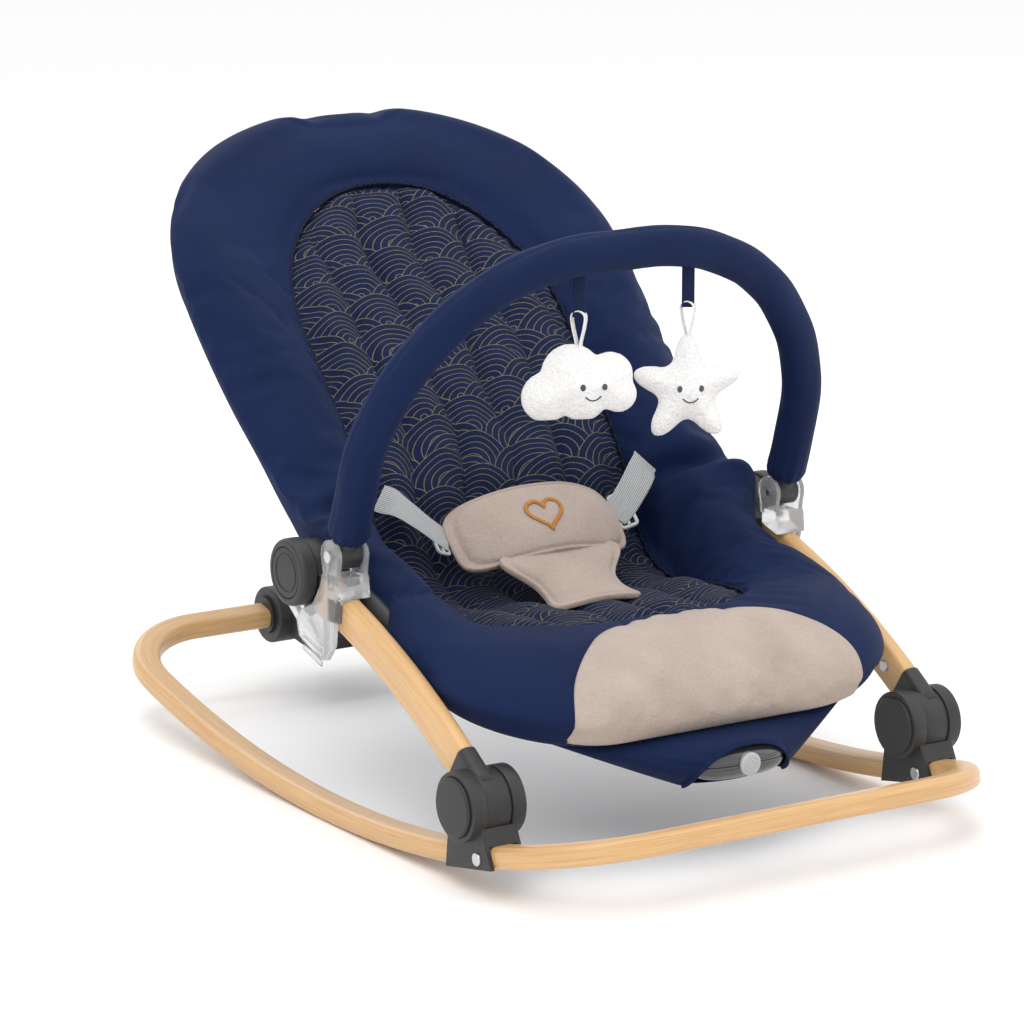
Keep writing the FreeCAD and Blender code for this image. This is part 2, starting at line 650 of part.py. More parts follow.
def tilted(body, tilt, y, z, lift=0.0):
    """A sketch on a plane that holds X and a direction in YZ, tilt up from +Y, through (y, z).
    Its x is X and its y runs along that direction. lift moves it along its own normal."""
    t = math.radians(tilt)
    place = (0, y - lift * math.sin(t), z + lift * math.cos(t))
    return sketch_on(body, "XY_Plane", place, (1, 0, 0), tilt)


def cross_sketch(body, tilt, y, z, distance):
    """A sketch square to that direction, distance along it: x is X, y is the plane's normal."""
    at_y, at_z = polar(y, z, tilt, distance)
    return sketch_on(body, "XZ_Plane", (0, at_z, -at_y), (1, 0, 0), tilt)


def u_path(sketch, half, start, reach, bend):
    """The open path of a U: two legs at +-half from start, and a far side at reach."""
    corner_y, corner_x = reach - bend, half - bend
    bow = math.cos(math.radians(45)) * bend
    sketch.addGeometry(Part.LineSegment(Vector(half, start, 0), Vector(half, corner_y, 0)), False)
    sketch.addGeometry(Part.Arc(Vector(half, corner_y, 0), Vector(corner_x + bow, corner_y + bow, 0),
                                Vector(corner_x, reach, 0)), False)
    sketch.addGeometry(Part.LineSegment(Vector(corner_x, reach, 0), Vector(-corner_x, reach, 0)), False)
    sketch.addGeometry(Part.Arc(Vector(-corner_x, reach, 0), Vector(-corner_x - bow, corner_y + bow, 0),
                                Vector(-half, corner_y, 0)), False)
    sketch.addGeometry(Part.LineSegment(Vector(-half, corner_y, 0), Vector(-half, start, 0)), False)


def u_pipe(body, frame, half, start, reach, bend, section, cutting=False):
    """A pipe along a U in the plane frame = (tilt, y, z). section draws on the pipe's start."""
    path = tilted(body, *frame)
    u_path(path, half, start, reach, bend)
    profile = cross_sketch(body, *frame, start)
    section(profile, half)
    if cutting:
        doc.recompute()
    feature = body.newObject("PartDesign::SubtractivePipe" if cutting else "PartDesign::AdditivePipe", "pipe")
    feature.Profile = profile
    feature.Spine = (path, ["Edge%d" % (i + 1) for i in range(5)])
    return feature


SEAT = (180 + S["seat_tilt"], S["recline_y"], S["recline_z"])
BACK = (S["back_tilt"], S["recline_y"], S["recline_z"])
BAR = (S["bar_tilt"], S["bar_y"], S["bar_z"])


def ring_section(outer, wall):
    def draw(sketch, half):
        circle(sketch, half, 0, outer)
        circle(sketch, half, 0, outer - wall)
    return draw


def hoop(label, frame, half, start, reach, bend, radius):
    body = new_body(label)
    u_pipe(body, frame, half, start, reach, bend, ring_section(radius, S["hoop_wall"]))


def roll(label, frame, start, outer, reach, bend, wide, thick, lift, tube):
    """A padded border round a hoop: outer and reach are its outside, and the hoop's channel is
    cut out of it. tube is the hoop's (half, start, reach, bend, radius)."""
    body = new_body(label)
    middle = wide / 2

    def section(sketch, half):
        rounded_rect(sketch, half, lift, wide, thick, S["roll_corner"])

    u_pipe(body, frame, outer - middle, start, reach - middle, bend - middle, section)
    half, tube_start, tube_reach, tube_bend, radius = tube

    def channel(sketch, at):
        circle(sketch, at, 0, radius)

    u_pipe(body, frame, half, min(start - 5, tube_start), tube_reach, tube_bend, channel, cutting=True)


seat_hoop_size = (S["seat_half"], 10.0, S["seat_reach"], S["seat_bend"], S["hoop_radius"])
back_hoop_size = (S["back_half"], 34.0, S["back_reach"], S["back_bend"], S["back_tube"])
hoop("seat_hoop", SEAT, *seat_hoop_size)
hoop("back_hoop", BACK, *back_hoop_size)
roll("seat_border", SEAT, 42.0, S["seat_half"] + S["seat_out"], S["seat_reach"] + S["seat_out"],
     S["seat_bend"] + S["seat_out"], S["seat_roll_wide"], S["seat_roll_thick"], -2.0, seat_hoop_size)
roll("back_border", BACK, 64.0, S["back_half"] + S["border_out"], S["back_reach"] + S["border_out"],
     S["back_bend"] + S["border_out"], S["back_roll_wide"], S["back_roll_thick"], 2.0, back_hoop_size)


def seat_liner():
    """The padded hammock that the sitter sits on. It is low at the back, and its rear end
    follows a circle round the recline axis so that the backrest turns past it."""
    body = new_body("seat_liner")
    profile = sketch_on(body, "YZ_Plane")
    polygon(profile, [(-186, 152), (-170, 159), (-120, 157), (-70, 149), (-40, 145.5), (-20, 134.0),
                      (0, 130.5), (22, 133), (22, 120), (-20, 119), (-60, 131), (-120, 141), (-186, 140)])
    pad(body, profile, "2 * Sizes.sling_half", both_ways=True)


def back_liner():
    """The quilted panel inside the backrest's border. Its top fills the border's window, and its
    lower end curls forward under the recline axis."""
    body = new_body("back_liner")
    face = tilted(body, *BACK, lift=-60)
    half, low_half, low = S["liner_half"], S["sling_half"] - 1, -34
    corner = S["back_bend"] + S["border_out"] - S["back_roll_wide"]
    top = S["back_reach"] + S["border_out"] - S["back_roll_wide"] - S["liner_gap"]
    side_top, flat_half = top - corner, half - corner
    bow = math.cos(math.radians(45)) * corner
    right = [(half, side_top), (half, 64), (low_half, 62), (low_half, low)]
    for a, b in zip(right, right[1:]):
        for side in (1, -1):
            ends = [Vector(side * x, along, 0) for x, along in (a, b)]
            face.addGeometry(Part.LineSegment(*ends), False)
    face.addGeometry(Part.LineSegment(Vector(low_half, low, 0), Vector(-low_half, low, 0)), False)
    face.addGeometry(Part.LineSegment(Vector(flat_half, top, 0), Vector(-flat_half, top, 0)), False)
    for side in (1, -1):
        face.addGeometry(Part.Arc(Vector(side * half, side_top, 0),
                                  Vector(side * (flat_half + bow), side_top + bow, 0),
                                  Vector(side * flat_half, top, 0)), False)
    pad(body, face, 80.0)
    front = [(400, 9), (200, 5), (60, -10), (0, -28), (-40, -44), (-40, 60), (400, 60)]
    back = [(400, -12), (200, -13), (60, -32), (0, -50), (-24, -50), (-60, -50), (-60, -90), (400, -90)]
    for shape in (front, back):
        side_cut = sketch_on(body, "YZ_Plane", (S["recline_y"], S["recline_z"], 0), turn=S["back_tilt"])
        polygon(side_cut, shape)
        cut(body, side_cut, 300.0, both_ways=True)


def front_patch():
    """The velour patch that is sewn over the front of the seat border."""
    body = new_body("front_patch")
    face = sketch_on(body, "YZ_Plane", (S["recline_y"], S["recline_z"], 0), turn=S["seat_tilt"])
    top, skin, corner = 25.0, S["patch_thick"], S["roll_corner"]
    front = -(S["seat_reach"] + S["seat_out"])
    bow = math.cos(math.radians(45))
    centre = (front + corner, top - corner)

    def arc(radius):
        return Part.Arc(Vector(centre[0], centre[1] + radius, 0),
                        Vector(centre[0] - bow * radius, centre[1] + bow * radius, 0),
                        Vector(centre[0] - radius, centre[1], 0))

    ends = (front + 88, -12.0)
    outer, inner = corner + skin, corner
    runs = [((ends[0], top + skin), (centre[0], top + skin)), ((ends[0], top), (centre[0], top)),
            ((front - skin, centre[1]), (front - skin, ends[1])), ((front, centre[1]), (front, ends[1])),
            ((ends[0], top), (ends[0], top + skin)), ((front - skin, ends[1]), (front, ends[1]))]
    for a, b in runs:
        face.addGeometry(Part.LineSegment(Vector(*a, 0), Vector(*b, 0)), False)
    face.addGeometry(arc(outer), False)
    face.addGeometry(arc(inner), False)
    pad(body, face, "2 * Sizes.patch_half", both_ways=True)


seat_liner()
back_liner()
front_patch()

# ---------------------------------------------------------------- recline hinges


def recline_housing(side, name):
    """The leg's half of the recline hinge, with sockets for the leg and for the seat hoop."""
    body = new_body("recline_housing_%s" % name)
    y, z = S["recline_y"], S["recline_z"]
    slab(body, side, "Sizes.housing_near", "Sizes.housing_far", disc("Sizes.housing_radius", y, z))
    collar = [leg_point(14.2, 18), leg_point(15.8, 18), leg_point(15.4, -18), leg_point(14.2, -18)]
    slab(body, side, "Sizes.housing_near", "Sizes.housing_far", outline(collar))
    arm = [polar(y, z, SEAT[0], 0, -12), polar(y, z, SEAT[0], 38, -12), polar(y, z, SEAT[0], 38, 12),
           polar(y, z, SEAT[0], 0, 12)]
    slab(body, side, "Sizes.seat_half - 11", "Sizes.housing_near", outline(arm))
    slab(body, side, "Sizes.seat_half - 11", "Sizes.housing_near", disc(12.0, y, z))
    leg_socket(body, side, S["leg_high_angle"], 10.0)
    hollow = cross_sketch(body, *SEAT, 10.0)
    circle(hollow, side * S["seat_half"], 0, "Sizes.hoop_radius")
    cut(body, hollow, 40.0).Reversed = False
    slab(body, side, "Sizes.seat_half - 12", "Sizes.housing_far + 1", disc("Sizes.axle_radius", y, z),
         cutting=True)


def recline_disc(side, name):
    """The backrest's half: the outer disc, and an arm over the housing that holds the hoop."""
    body = new_body("recline_disc_%s" % name)
    y, z = S["recline_y"], S["recline_z"]
    tilt = S["back_tilt"]
    slab(body, side, "Sizes.disc_near", "Sizes.disc_far", disc("Sizes.disc_radius", y, z))
    half, end = S["grip_half"], S["grip_reach"]
    arm = [(8, -half - 2), (end, -half), (end, half), (8, half + 2)]
    slab(body, side, "Sizes.disc_near", "Sizes.disc_far - 7",
         outline([polar(y, z, tilt, along, across) for along, across in arm]))
    grip = [(28, -half), (end, -half), (end, half), (28, half)]
    slab(body, side, "Sizes.back_half - Sizes.grip_half", "Sizes.disc_near",
         outline([polar(y, z, tilt, along, across) for along, across in grip]))
    slab(body, side, "Sizes.disc_far - 7", "Sizes.disc_far + 1", disc(S["disc_button_radius"] + 0.3, y, z),
         cutting=True)
    hollow = cross_sketch(body, *BACK, 34.0)
    circle(hollow, side * S["back_half"], 0, "Sizes.back_tube")
    cut(body, hollow, 40.0).Reversed = False
    slab(body, side, "Sizes.disc_near - 1", "Sizes.disc_far - 7", disc("Sizes.axle_radius", y, z),
         cutting=True)
    soften(body, 3.5, round_edge(S["disc_radius"], side * S["disc_far"]))


def recline_button(side, name):
    """The push button in the middle of the recline disc."""
    body = new_body("recline_button_%s" % name)
    slab(body, side, "Sizes.disc_far - 3.5", "Sizes.disc_far - 0.2",
         disc("Sizes.disc_button_radius", S["recline_y"], S["recline_z"]))
    soften(body, 0.8, round_edge(S["disc_button_radius"], side * (S["disc_far"] - 0.2)))


def recline_axles():
    """The steel pins that the recline discs turn on."""
    body = new_body("recline_axles")
    for side, name in SIDES:
        slab(body, side, "Sizes.seat_half - 10", "Sizes.disc_far - 7.5",
             disc(S["axle_radius"] - S["running_gap"], S["recline_y"], S["recline_z"]))


for side, name in SIDES:
    recline_housing(side, name)
    recline_disc(side, name)
    recline_button(side, name)
recline_axles()

# ---------------------------------------------------------------- toy bar


def toy_bar():
    """The rod, its padded sleeve, and the end plugs that turn in the clips."""
    size = (S["bar_half"], S["bar_reach"], S["bar_bend"])
    rod = new_body("toy_bar_rod")
    u_pipe(rod, BAR, size[0], 6.0, size[1], size[2], ring_section(S["bar_rod"], S["hoop_wall"]))
    cover = new_body("toy_bar_cover")
    u_pipe(cover, BAR, size[0], 17.5, size[1], size[2],
           ring_section(S["bar_cover"], S["bar_cover"] - S["bar_rod"]))
    plugs = new_body("toy_bar_plugs")
    direction = (0, *polar(0, 0, S["bar_tilt"], 1))
    for side, name in SIDES:
        slab(plugs, side, "Sizes.leg_x - 9.6", "Sizes.leg_x + 9.6", disc(11.0, S["bar_y"], S["bar_z"]))
        primitive(plugs, "Cylinder", (side * S["bar_half"], S["bar_y"], S["bar_z"]), direction,
                  Radius=9.0, Height=17.0)
    for side, name in SIDES:
        start = polar(S["bar_y"], S["bar_z"], S["bar_tilt"], 6.0)
        primitive(plugs, "Cylinder", (side * S["bar_half"], *start), direction, cutting=True,
                  Radius="Sizes.bar_rod", Height=20.0)
        slab(plugs, side, "Sizes.leg_x - 12", "Sizes.leg_x + 12",
             disc(S["clip_screw"] + S["running_gap"], S["bar_y"], S["bar_z"]), cutting=True)


def toy_clip(side, name):
    """A clear clip over the leg: two ears for the toy bar's pivot, and a ribbed release paddle."""
    body = new_body("toy_clip_%s" % name)
    y, z = S["bar_y"], S["bar_z"]
    outer = ("Sizes.leg_x + Sizes.clip_gap", "Sizes.leg_x + Sizes.clip_gap + Sizes.clip_plate")
    inner = ("Sizes.leg_x - Sizes.clip_gap - Sizes.clip_plate", "Sizes.leg_x - Sizes.clip_gap")
    neck = [(-62, 200), (-43, 200), (-40, 214), (-64, 214)]
    paddle = [(-64, 203), (-62, 186), (-58, 165), (-56, 148), (-46, 135), (-36, 133),
              (-4, 146), (-1, 158), (-6, 166.5), (-26, 176), (-37, 192), (-41, 203)]
    saddle = [(-66, 185.4), (-45, 191.6), (-45, 203), (-64, 203)]
    slab(body, side, inner[0], outer[1], outline(saddle))
    slab(body, side, *outer, disc("Sizes.clip_ear", y, z))
    slab(body, side, *outer, outline(paddle))
    slab(body, side, *outer, outline(neck))
    slab(body, side, *inner, disc("Sizes.clip_ear", y, z))
    slab(body, side, *inner, outline(neck))
    slab(body, side, "Sizes.leg_x + Sizes.leg_thick / 2", outer[0],
         outline([(-62, 184), (-59, 166), (-44, 166), (-44, 184)]))
    slope = 198
    for step in range(3):
        low = (-12, 153 - 7 * step)
        high = polar(-12 - 2 * step, 153 - 7 * step, slope, 32 - 3 * step)
        corners = ((low, -2), (high, -2), (high, 2), (low, 2))
        rib = outline([polar(*point, slope, 0, across) for point, across in corners])
        slab(body, side, outer[1], outer[1] + " + 1.4", rib)
    slab(body, side, inner[0] + " - 1", outer[1] + " + 1", disc("Sizes.clip_screw", y, z), cutting=True)


def clip_screws():
    """The pivot screws of the toy bar."""
    body = new_body("clip_screws")
    far = "Sizes.leg_x + Sizes.clip_gap + Sizes.clip_plate"
    for side, name in SIDES:
        slab(body, side, "Sizes.leg_x - Sizes.clip_gap - Sizes.clip_plate", far,
             disc("Sizes.clip_screw", S["bar_y"], S["bar_z"]))
        slab(body, side, far, far + " + 2", disc(4.5, S["bar_y"], S["bar_z"]))


def bar_point(x):
    """The toy bar's centreline at x, as (y, z)."""
    past = max(0.0, abs(x) - (S["bar_half"] - S["bar_bend"]))
    along = S["bar_reach"] - S["bar_bend"] + math.sqrt(S["bar_bend"] ** 2 - past ** 2)
    return polar(S["bar_y"], S["bar_z"], S["bar_tilt"], along)


def toy_strap(label, x):
    """A flat strap from the toy bar's cover, and the ribbon loop that the toy hangs by."""
    body = new_body(label)
    y, z = bar_point(x)
    hang = z - S["bar_cover"]
    strap, ribbon = hang - S["strap_drop"], hang - S["ribbon_drop"]
    for half, thick, top, low in ((4.5, 1.6, hang - 3.0, strap), (5.0, 2.2, strap, ribbon)):
        piece = sketch_on(body, "XY_Plane", (x, y, low), turn=S["toy_turn"])
        polygon(piece, [(-half, -thick / 2), (half, -thick / 2), (half, thick / 2), (-half, thick / 2)])
        pad(body, piece, top - low)


def toy_face(body, x, drop):
    """An upright sketch on a toy's middle plane, drop below the toy bar's cover."""
    y, z = bar_point(x)
    face = sketch_on(body, "XZ_Plane")
    turn = Rotation(Vector(0, 1, 0), S["toy_turn"])
    face.AttachmentOffset = Placement(Vector(x, z - S["bar_cover"] - drop, -y), turn)
    return face


def star_toy():
    """A plush star of 5 blunt points."""
    body = new_body("star_toy")
    face = toy_face(body, S["star_x"], 96.0)
    points = []
    for step in range(10):
        t = math.radians(90 + 36 * step)
        r = 45.0 if step % 2 == 0 else 25.0
        points.append((r * math.cos(t), r * math.sin(t)))
    polygon(face, points)
    pad(body, face, 24.0, both_ways=True)


def cloud_toy():
    """A plush cloud: a flat-bottomed row of three bumps."""
    body = new_body("cloud_toy")
    for x, z, radius in ((-24, -8, 20.0), (2, 6, 25.0), (28, -6, 19.0)):
        bump = toy_face(body, S["cloud_x"], 83.0)
        circle(bump, x, z, radius)
        pad(body, bump, 26.0, both_ways=True)
    middle = toy_face(body, S["cloud_x"], 83.0)
    polygon(middle, [(-26, -27), (29, -25), (40, -10), (0, 20), (-40, -8)])
    pad(body, middle, 26.0, both_ways=True)


toy_bar()
for side, name in SIDES:
    toy_clip(side, name)
clip_screws()
toy_strap("star_strap", S["star_x"])
toy_strap("cloud_strap", S["cloud_x"])
star_toy()
cloud_toy()

# ---------------------------------------------------------------- harness


def waist_pad():
    """A curved velour pad over the sitter's middle, bowed forward in the middle."""
    body = new_body("waist_pad")
    face = cross_sketch(body, *BACK, 52.0)
    centre_n, outer, inner, spread = -100.0, 131.0, 119.0, 38.0
    ends = []
    for radius in (outer, inner):
        angles = [math.radians(t) for t in (-spread, 0, spread)]
        reach = [Vector(radius * math.sin(t), centre_n + radius * math.cos(t), 0) for t in angles]
        face.addGeometry(Part.Arc(*reach), False)
        ends.append(reach)
    face.addGeometry(Part.LineSegment(ends[0][0], ends[1][0]), False)
    face.addGeometry(Part.LineSegment(ends[0][2], ends[1][2]), False)
    pad(body, face, 60.0)


def crotch_pad():
    body = new_body("crotch_pad")
    side_view = sketch_on(body, "YZ_Plane")
    polygon(side_view, [(-31.0, 212.9), (-62, 184), (-98, 166), (-98, 157), (-60, 173.5), (-22.6, 204.0)])
    pad(body, side_view, 70.0, both_ways=True)


def harness_strap(side, name):
    """The webbing from the pad's adjuster to the slot in the backrest."""
    body = new_body("harness_strap_%s" % name)
    section = cross_sketch(body, *BACK, 48.0)
    polygon(section, [(side * a, n) for a, n in ((96.5, 4.2), (131, 20), (131, 21.5), (96.5, 5.7))])
    pad(body, section, 25.0)


def strap_adjusters():
    """Ladder adjusters between the pad's ends and the webbing."""
    body = new_body("strap_adjusters")
    for side, name in SIDES:
        frame = cross_sketch(body, *BACK, 51.0)
        polygon(frame, [(side * a, n) for a, n in ((82.5, -4.5), (96, 1.8), (94.6, 5.8), (81.1, -0.5))])
        pad(body, frame, 31.0)


waist_pad()
crotch_pad()
for side, name in SIDES:
    harness_strap(side, name)
strap_adjusters()

# ---------------------------------------------------------------- vibration unit


def unit_half(label, low, high, floor_at, cavity_low, cavity_high):
    """One half of the vibration unit's casing, with half of the hole for its button."""
    body = new_body(label)
    block = sketch_on(body, "XY_Plane", (0, S["unit_y"], low))
    rounded_rect(block, 0, 0, S["unit_wide"], S["unit_long"], S["unit_corner"])
    pad(body, block, high - low)
    soften(body, 4.5, lambda e: max(abs(e.BoundBox.ZMin - floor_at), abs(e.BoundBox.ZMax - floor_at)) < 1e-3)
    wall = S["unit_wall"]
    cavity = sketch_on(body, "XY_Plane", (0, S["unit_y"], cavity_low))
    rounded_rect(cavity, 0, 0, S["unit_wide"] - 2 * wall, S["unit_long"] - 2 * wall, S["unit_corner"] - wall)
    cut(body, cavity, cavity_high - cavity_low)
    hole = sketch_on(body, "XZ_Plane", (0, S["unit_z"], -(S["unit_y"] - 18)))
    circle(hole, 0, 0, S["unit_button"] + 0.15)
    cut(body, hole, 14.0)


def vibration_case():
    middle, half, wall = S["unit_z"], S["unit_tall"] / 2, S["unit_wall"]
    unit_half("vibration_case_lower", middle - half, middle, middle - half, middle - half + wall, middle)
    unit_half("vibration_case_upper", middle, middle + half, middle + half, middle, middle + half - wall)


def vibration_button():
    """The push button in the front of the unit."""
    button = new_body("vibration_button")
    front = S["unit_y"] - S["unit_long"] / 2
    proud = 2.5
    face = sketch_on(button, "XZ_Plane", (0, S["unit_z"], -(front + 6)))
    circle(face, 0, 0, "Sizes.unit_button")
    pad(button, face, 6 + proud)
    soften(button, 1.2, lambda e: isinstance(e.Curve, Part.Circle)
           and abs(e.Curve.Center.y - front + proud) < 1e-3)


def vibration_inside():
    """Two AA cells, the motor and the eccentric weight on its shaft."""
    shaft_y = S["unit_y"] - S["shaft_back"]
    batteries = new_body("vibration_batteries")
    for place in (S["unit_y"] + 2.5, S["unit_y"] + 17.5):
        cell = sketch_on(batteries, "YZ_Plane")
        circle(cell, place, S["unit_z"], 7.1)
        pad(batteries, cell, 50.0, both_ways=True)
    motor = new_body("vibration_motor")
    can = sketch_on(motor, "YZ_Plane", (0, 0, 15.0))
    circle(can, shaft_y, S["unit_z"], 6.0)
    pad(motor, can, 16.0)
    weight = new_body("eccentric_weight")
    half_disc = sketch_on(weight, "YZ_Plane", (shaft_y, S["unit_z"], 10.0))
    r = S["weight_radius"]
    around = Part.Circle(Vector(0, 0, 0), Vector(0, 0, 1), r)
    half_disc.addGeometry(Part.ArcOfCircle(around, math.pi, 2 * math.pi), False)
    hub = [Vector(-r, 0, 0), Vector(-3, 2.5, 0), Vector(3, 2.5, 0), Vector(r, 0, 0)]
    for a, b in zip(hub, hub[1:]):
        half_disc.addGeometry(Part.LineSegment(a, b), False)
    pad(weight, half_disc, 4.5)


def unit_pocket():
    """The fabric pocket under the seat's front edge that the unit lies in."""
    pocket = new_body("unit_pocket")
    wrap = sketch_on(pocket, "YZ_Plane")
    front = S["unit_y"] - S["unit_long"] / 2 + 13
    low, back = S["unit_z"] - S["unit_tall"] / 2, S["unit_y"] + S["unit_long"] / 2
    top, gap = low + 27, 0.3
    polygon(wrap, [(front, low - 2.6), (back + 3, low - 2.6), (back + 3, top), (back + gap, top),
                   (back + gap, low - gap), (front, low - gap)])
    pad(pocket, wrap, "Sizes.unit_wide + 6", both_ways=True)


def border_recess():
    """Room in the seat border for the vibration unit and for the inner plates of the toy clips."""
    border = next(b for b in NODES if b.Label == "seat_border")
    room = sketch_on(border, "XY_Plane", (0, S["unit_y"], S["unit_z"] - S["unit_tall"]))
    rounded_rect(room, 0, 0, S["unit_wide"] + 10, S["unit_long"] + 10, 4.0)
    cut(border, room, S["unit_tall"] * 1.5 + 1)
    for side, name in SIDES:
        slab(border, side, "Sizes.leg_x - Sizes.clip_gap - Sizes.clip_plate - 1", "Sizes.leg_x",
             outline([(-72, 168), (-34, 182), (-34, 225), (-72, 225)]), cutting=True)


def cover_hook(side, name):
    """A slotted hook under the recline housing that holds the cover's hem."""
    body = new_body("cover_hook_%s" % name)
    y, z, tilt = 34.0, 172.0, 215.3
    fork = [(0, 10), (0, 3), (24, 3), (26, 0), (24, -3), (0, -3), (0, -10), (30, -10), (34, -7), (58, -7),
            (58, 7), (34, 7), (30, 10)]
    lug = [(-2, 150), (8, 150), (8, 172.5), (-2, 172.5)]
    for shape in ([polar(y, z, tilt, along, across) for along, across in fork], lug):
        slab(body, side, "Sizes.leg_x - 4", "Sizes.leg_x + 1", outline(shape))


vibration_case()
vibration_button()
vibration_inside()
unit_pocket()
border_recess()
for side, name in SIDES:
    cover_hook(side, name)

# ---------------------------------------------------------------- checks and files

doc.recompute()
failed = [thing.Label for thing in doc.Objects if "Invalid" in thing.State or "Error" in thing.State]
if failed:
    raise RuntimeError("failed objects: %s" % ", ".join(failed))
for node in NODES:
    if node.Shape.isNull() or not node.Shape.isValid():
        raise RuntimeError("%s is not a valid solid" % node.Label)
os.makedirs("parts", exist_ok=True)
for node in NODES:
    node.Shape.exportStep("parts/%s.step" % node.Label)
print(len(NODES), "sub-parts written")
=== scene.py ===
"""A baby bouncer: padded navy cover, wood-look rocker frame, harness and toy bar.

Lengths are in metres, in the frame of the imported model: +Z up, the sitter faces -Y, and +X is
the sitter's left. The cover is drawn in its own coordinates: u across, v along the seat and the
backrest from the recline axis (negative towards the front), and n square to them.
"""
import json
import math

import bmesh
import bpy
import numpy as np
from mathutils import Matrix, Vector
from mathutils.bvhtree import BVHTree

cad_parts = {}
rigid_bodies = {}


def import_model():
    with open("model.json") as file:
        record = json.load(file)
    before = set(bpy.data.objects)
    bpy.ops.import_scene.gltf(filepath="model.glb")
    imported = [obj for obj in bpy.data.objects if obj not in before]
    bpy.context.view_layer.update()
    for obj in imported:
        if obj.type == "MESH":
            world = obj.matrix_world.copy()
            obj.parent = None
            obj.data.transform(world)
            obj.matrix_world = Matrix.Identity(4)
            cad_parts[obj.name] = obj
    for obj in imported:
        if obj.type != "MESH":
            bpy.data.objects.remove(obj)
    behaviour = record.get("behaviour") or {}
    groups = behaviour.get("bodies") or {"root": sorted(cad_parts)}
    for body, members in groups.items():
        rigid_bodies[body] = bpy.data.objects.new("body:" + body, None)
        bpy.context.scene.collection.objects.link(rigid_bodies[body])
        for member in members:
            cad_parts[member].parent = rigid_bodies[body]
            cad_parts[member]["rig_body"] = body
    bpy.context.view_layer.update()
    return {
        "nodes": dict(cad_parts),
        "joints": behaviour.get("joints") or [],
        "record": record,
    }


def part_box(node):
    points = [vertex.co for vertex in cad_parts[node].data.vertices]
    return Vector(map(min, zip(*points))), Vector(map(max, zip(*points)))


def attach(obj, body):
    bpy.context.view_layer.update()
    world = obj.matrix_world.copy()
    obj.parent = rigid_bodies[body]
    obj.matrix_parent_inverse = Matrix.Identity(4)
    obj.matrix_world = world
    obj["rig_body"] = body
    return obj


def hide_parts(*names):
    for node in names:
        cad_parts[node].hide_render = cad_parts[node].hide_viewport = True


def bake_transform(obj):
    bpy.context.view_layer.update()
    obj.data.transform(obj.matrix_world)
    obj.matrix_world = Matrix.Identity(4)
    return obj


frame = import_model()
JOINTS = {joint["name"]: joint for joint in frame["joints"]}
NODES = frame["nodes"]
RECLINE = JOINTS["recline"]["pos_m"]
FOLD = JOINTS["fold"]["pos_m"]
BAR = JOINTS["toy_bar_tilt"]["pos_m"]
SIDES = ((1, "left"), (-1, "right"))

SEAT_TILT = math.radians(19.5)
BACK_TILT = math.radians(44.0)
BAR_TILT = math.radians(108.0)


# ---------------------------------------------------------------- camera, light, floor

def studio():
    """Camera, lights, white surroundings and floor."""
    camera = bpy.data.objects.new("camera", bpy.data.cameras.new("camera"))
    camera.location = (-1.7867, -2.7251, 0.9613)
    aim = Vector((-0.0761, -0.0848, 0.2415)) - camera.location
    camera.rotation_euler = aim.to_track_quat("-Z", "Y").to_euler()
    camera.data.lens = 146.9
    camera.data.sensor_width = 36
    bpy.context.collection.objects.link(camera)
    bpy.context.scene.camera = camera

    lights = (("key", (-1.6, -1.6, 2.6), 1.8, 34), ("fill", (2.4, -1.4, 1.6), 2.2, 10),
              ("back", (0.2, 2.6, 2.2), 1.8, 16), ("top", (0.0, 0.0, 3.0), 2.4, 20))
    for name, place, size, power in lights:
        lamp = bpy.data.objects.new(name, bpy.data.lights.new(name, "AREA"))
        lamp.data.size = size
        lamp.data.energy = power
        lamp.location = place
        lamp.rotation_euler = (Vector((0, 0, 0.2)) - lamp.location).to_track_quat("-Z", "Y").to_euler()
        bpy.context.collection.objects.link(lamp)

    bpy.context.scene.view_settings.view_transform = "Standard"
    world = bpy.data.worlds.new("studio")
    world.use_nodes = True
    world.node_tree.nodes["Background"].inputs["Color"].default_value = (1.0, 1.0, 1.0, 1)
    world.node_tree.nodes["Background"].inputs["Strength"].default_value = 1.0
    bpy.context.scene.world = world

    floor = mesh_object("floor", [(-30, -30, 0), (30, -30, 0), (30, 30, 0), (-30, 30, 0)], [(0, 1, 2, 3)])
    paint, _, shader = new_material("floor")
    shader.inputs["Base Color"].default_value = (0.95, 0.95, 0.95, 1)
    shader.inputs["Roughness"].default_value = 0.9
    floor.data.materials.append(paint)


# ---------------------------------------------------------------- mesh helpers

def mesh_object(name, points, faces, uv=None):
    """A mesh object; uv is one (x, y) pair for each point."""
    data = bpy.data.meshes.new(name)
    data.from_pydata([tuple(p) for p in points], [], [tuple(f) for f in faces])
    if uv is not None:
        layer = data.uv_layers.new(name="UVMap")
        corners = np.zeros(len(data.loops), np.int32)
        data.loops.foreach_get("vertex_index", corners)
        layer.data.foreach_set("uv", np.asarray(uv, np.float32)[corners].ravel())
    data.shade_smooth()
    data.validate()
    thing = bpy.data.objects.new(name, data)
    bpy.context.collection.objects.link(thing)
    return thing


def grid(name, points, wrap_rows=False, wrap_columns=False, uv=None, caps=False):
    """A surface from an array of points (rows, columns, 3), closed where wrap says."""
    rows, columns = points.shape[:2]
    faces = []
    for i in range(rows if wrap_rows else rows - 1):
        below = (i + 1) % rows
        for j in range(columns if wrap_columns else columns - 1):
            right = (j + 1) % columns
            faces.append((i * columns + j, i * columns + right, below * columns + right, below * columns + j))
    if caps:
        faces.append(tuple(range(columns - 1, -1, -1)))
        faces.append(tuple((rows - 1) * columns + j for j in range(columns)))
    flat = points.reshape(-1, 3)
    return mesh_object(name, flat, faces, None if uv is None else uv.reshape(-1, 2))


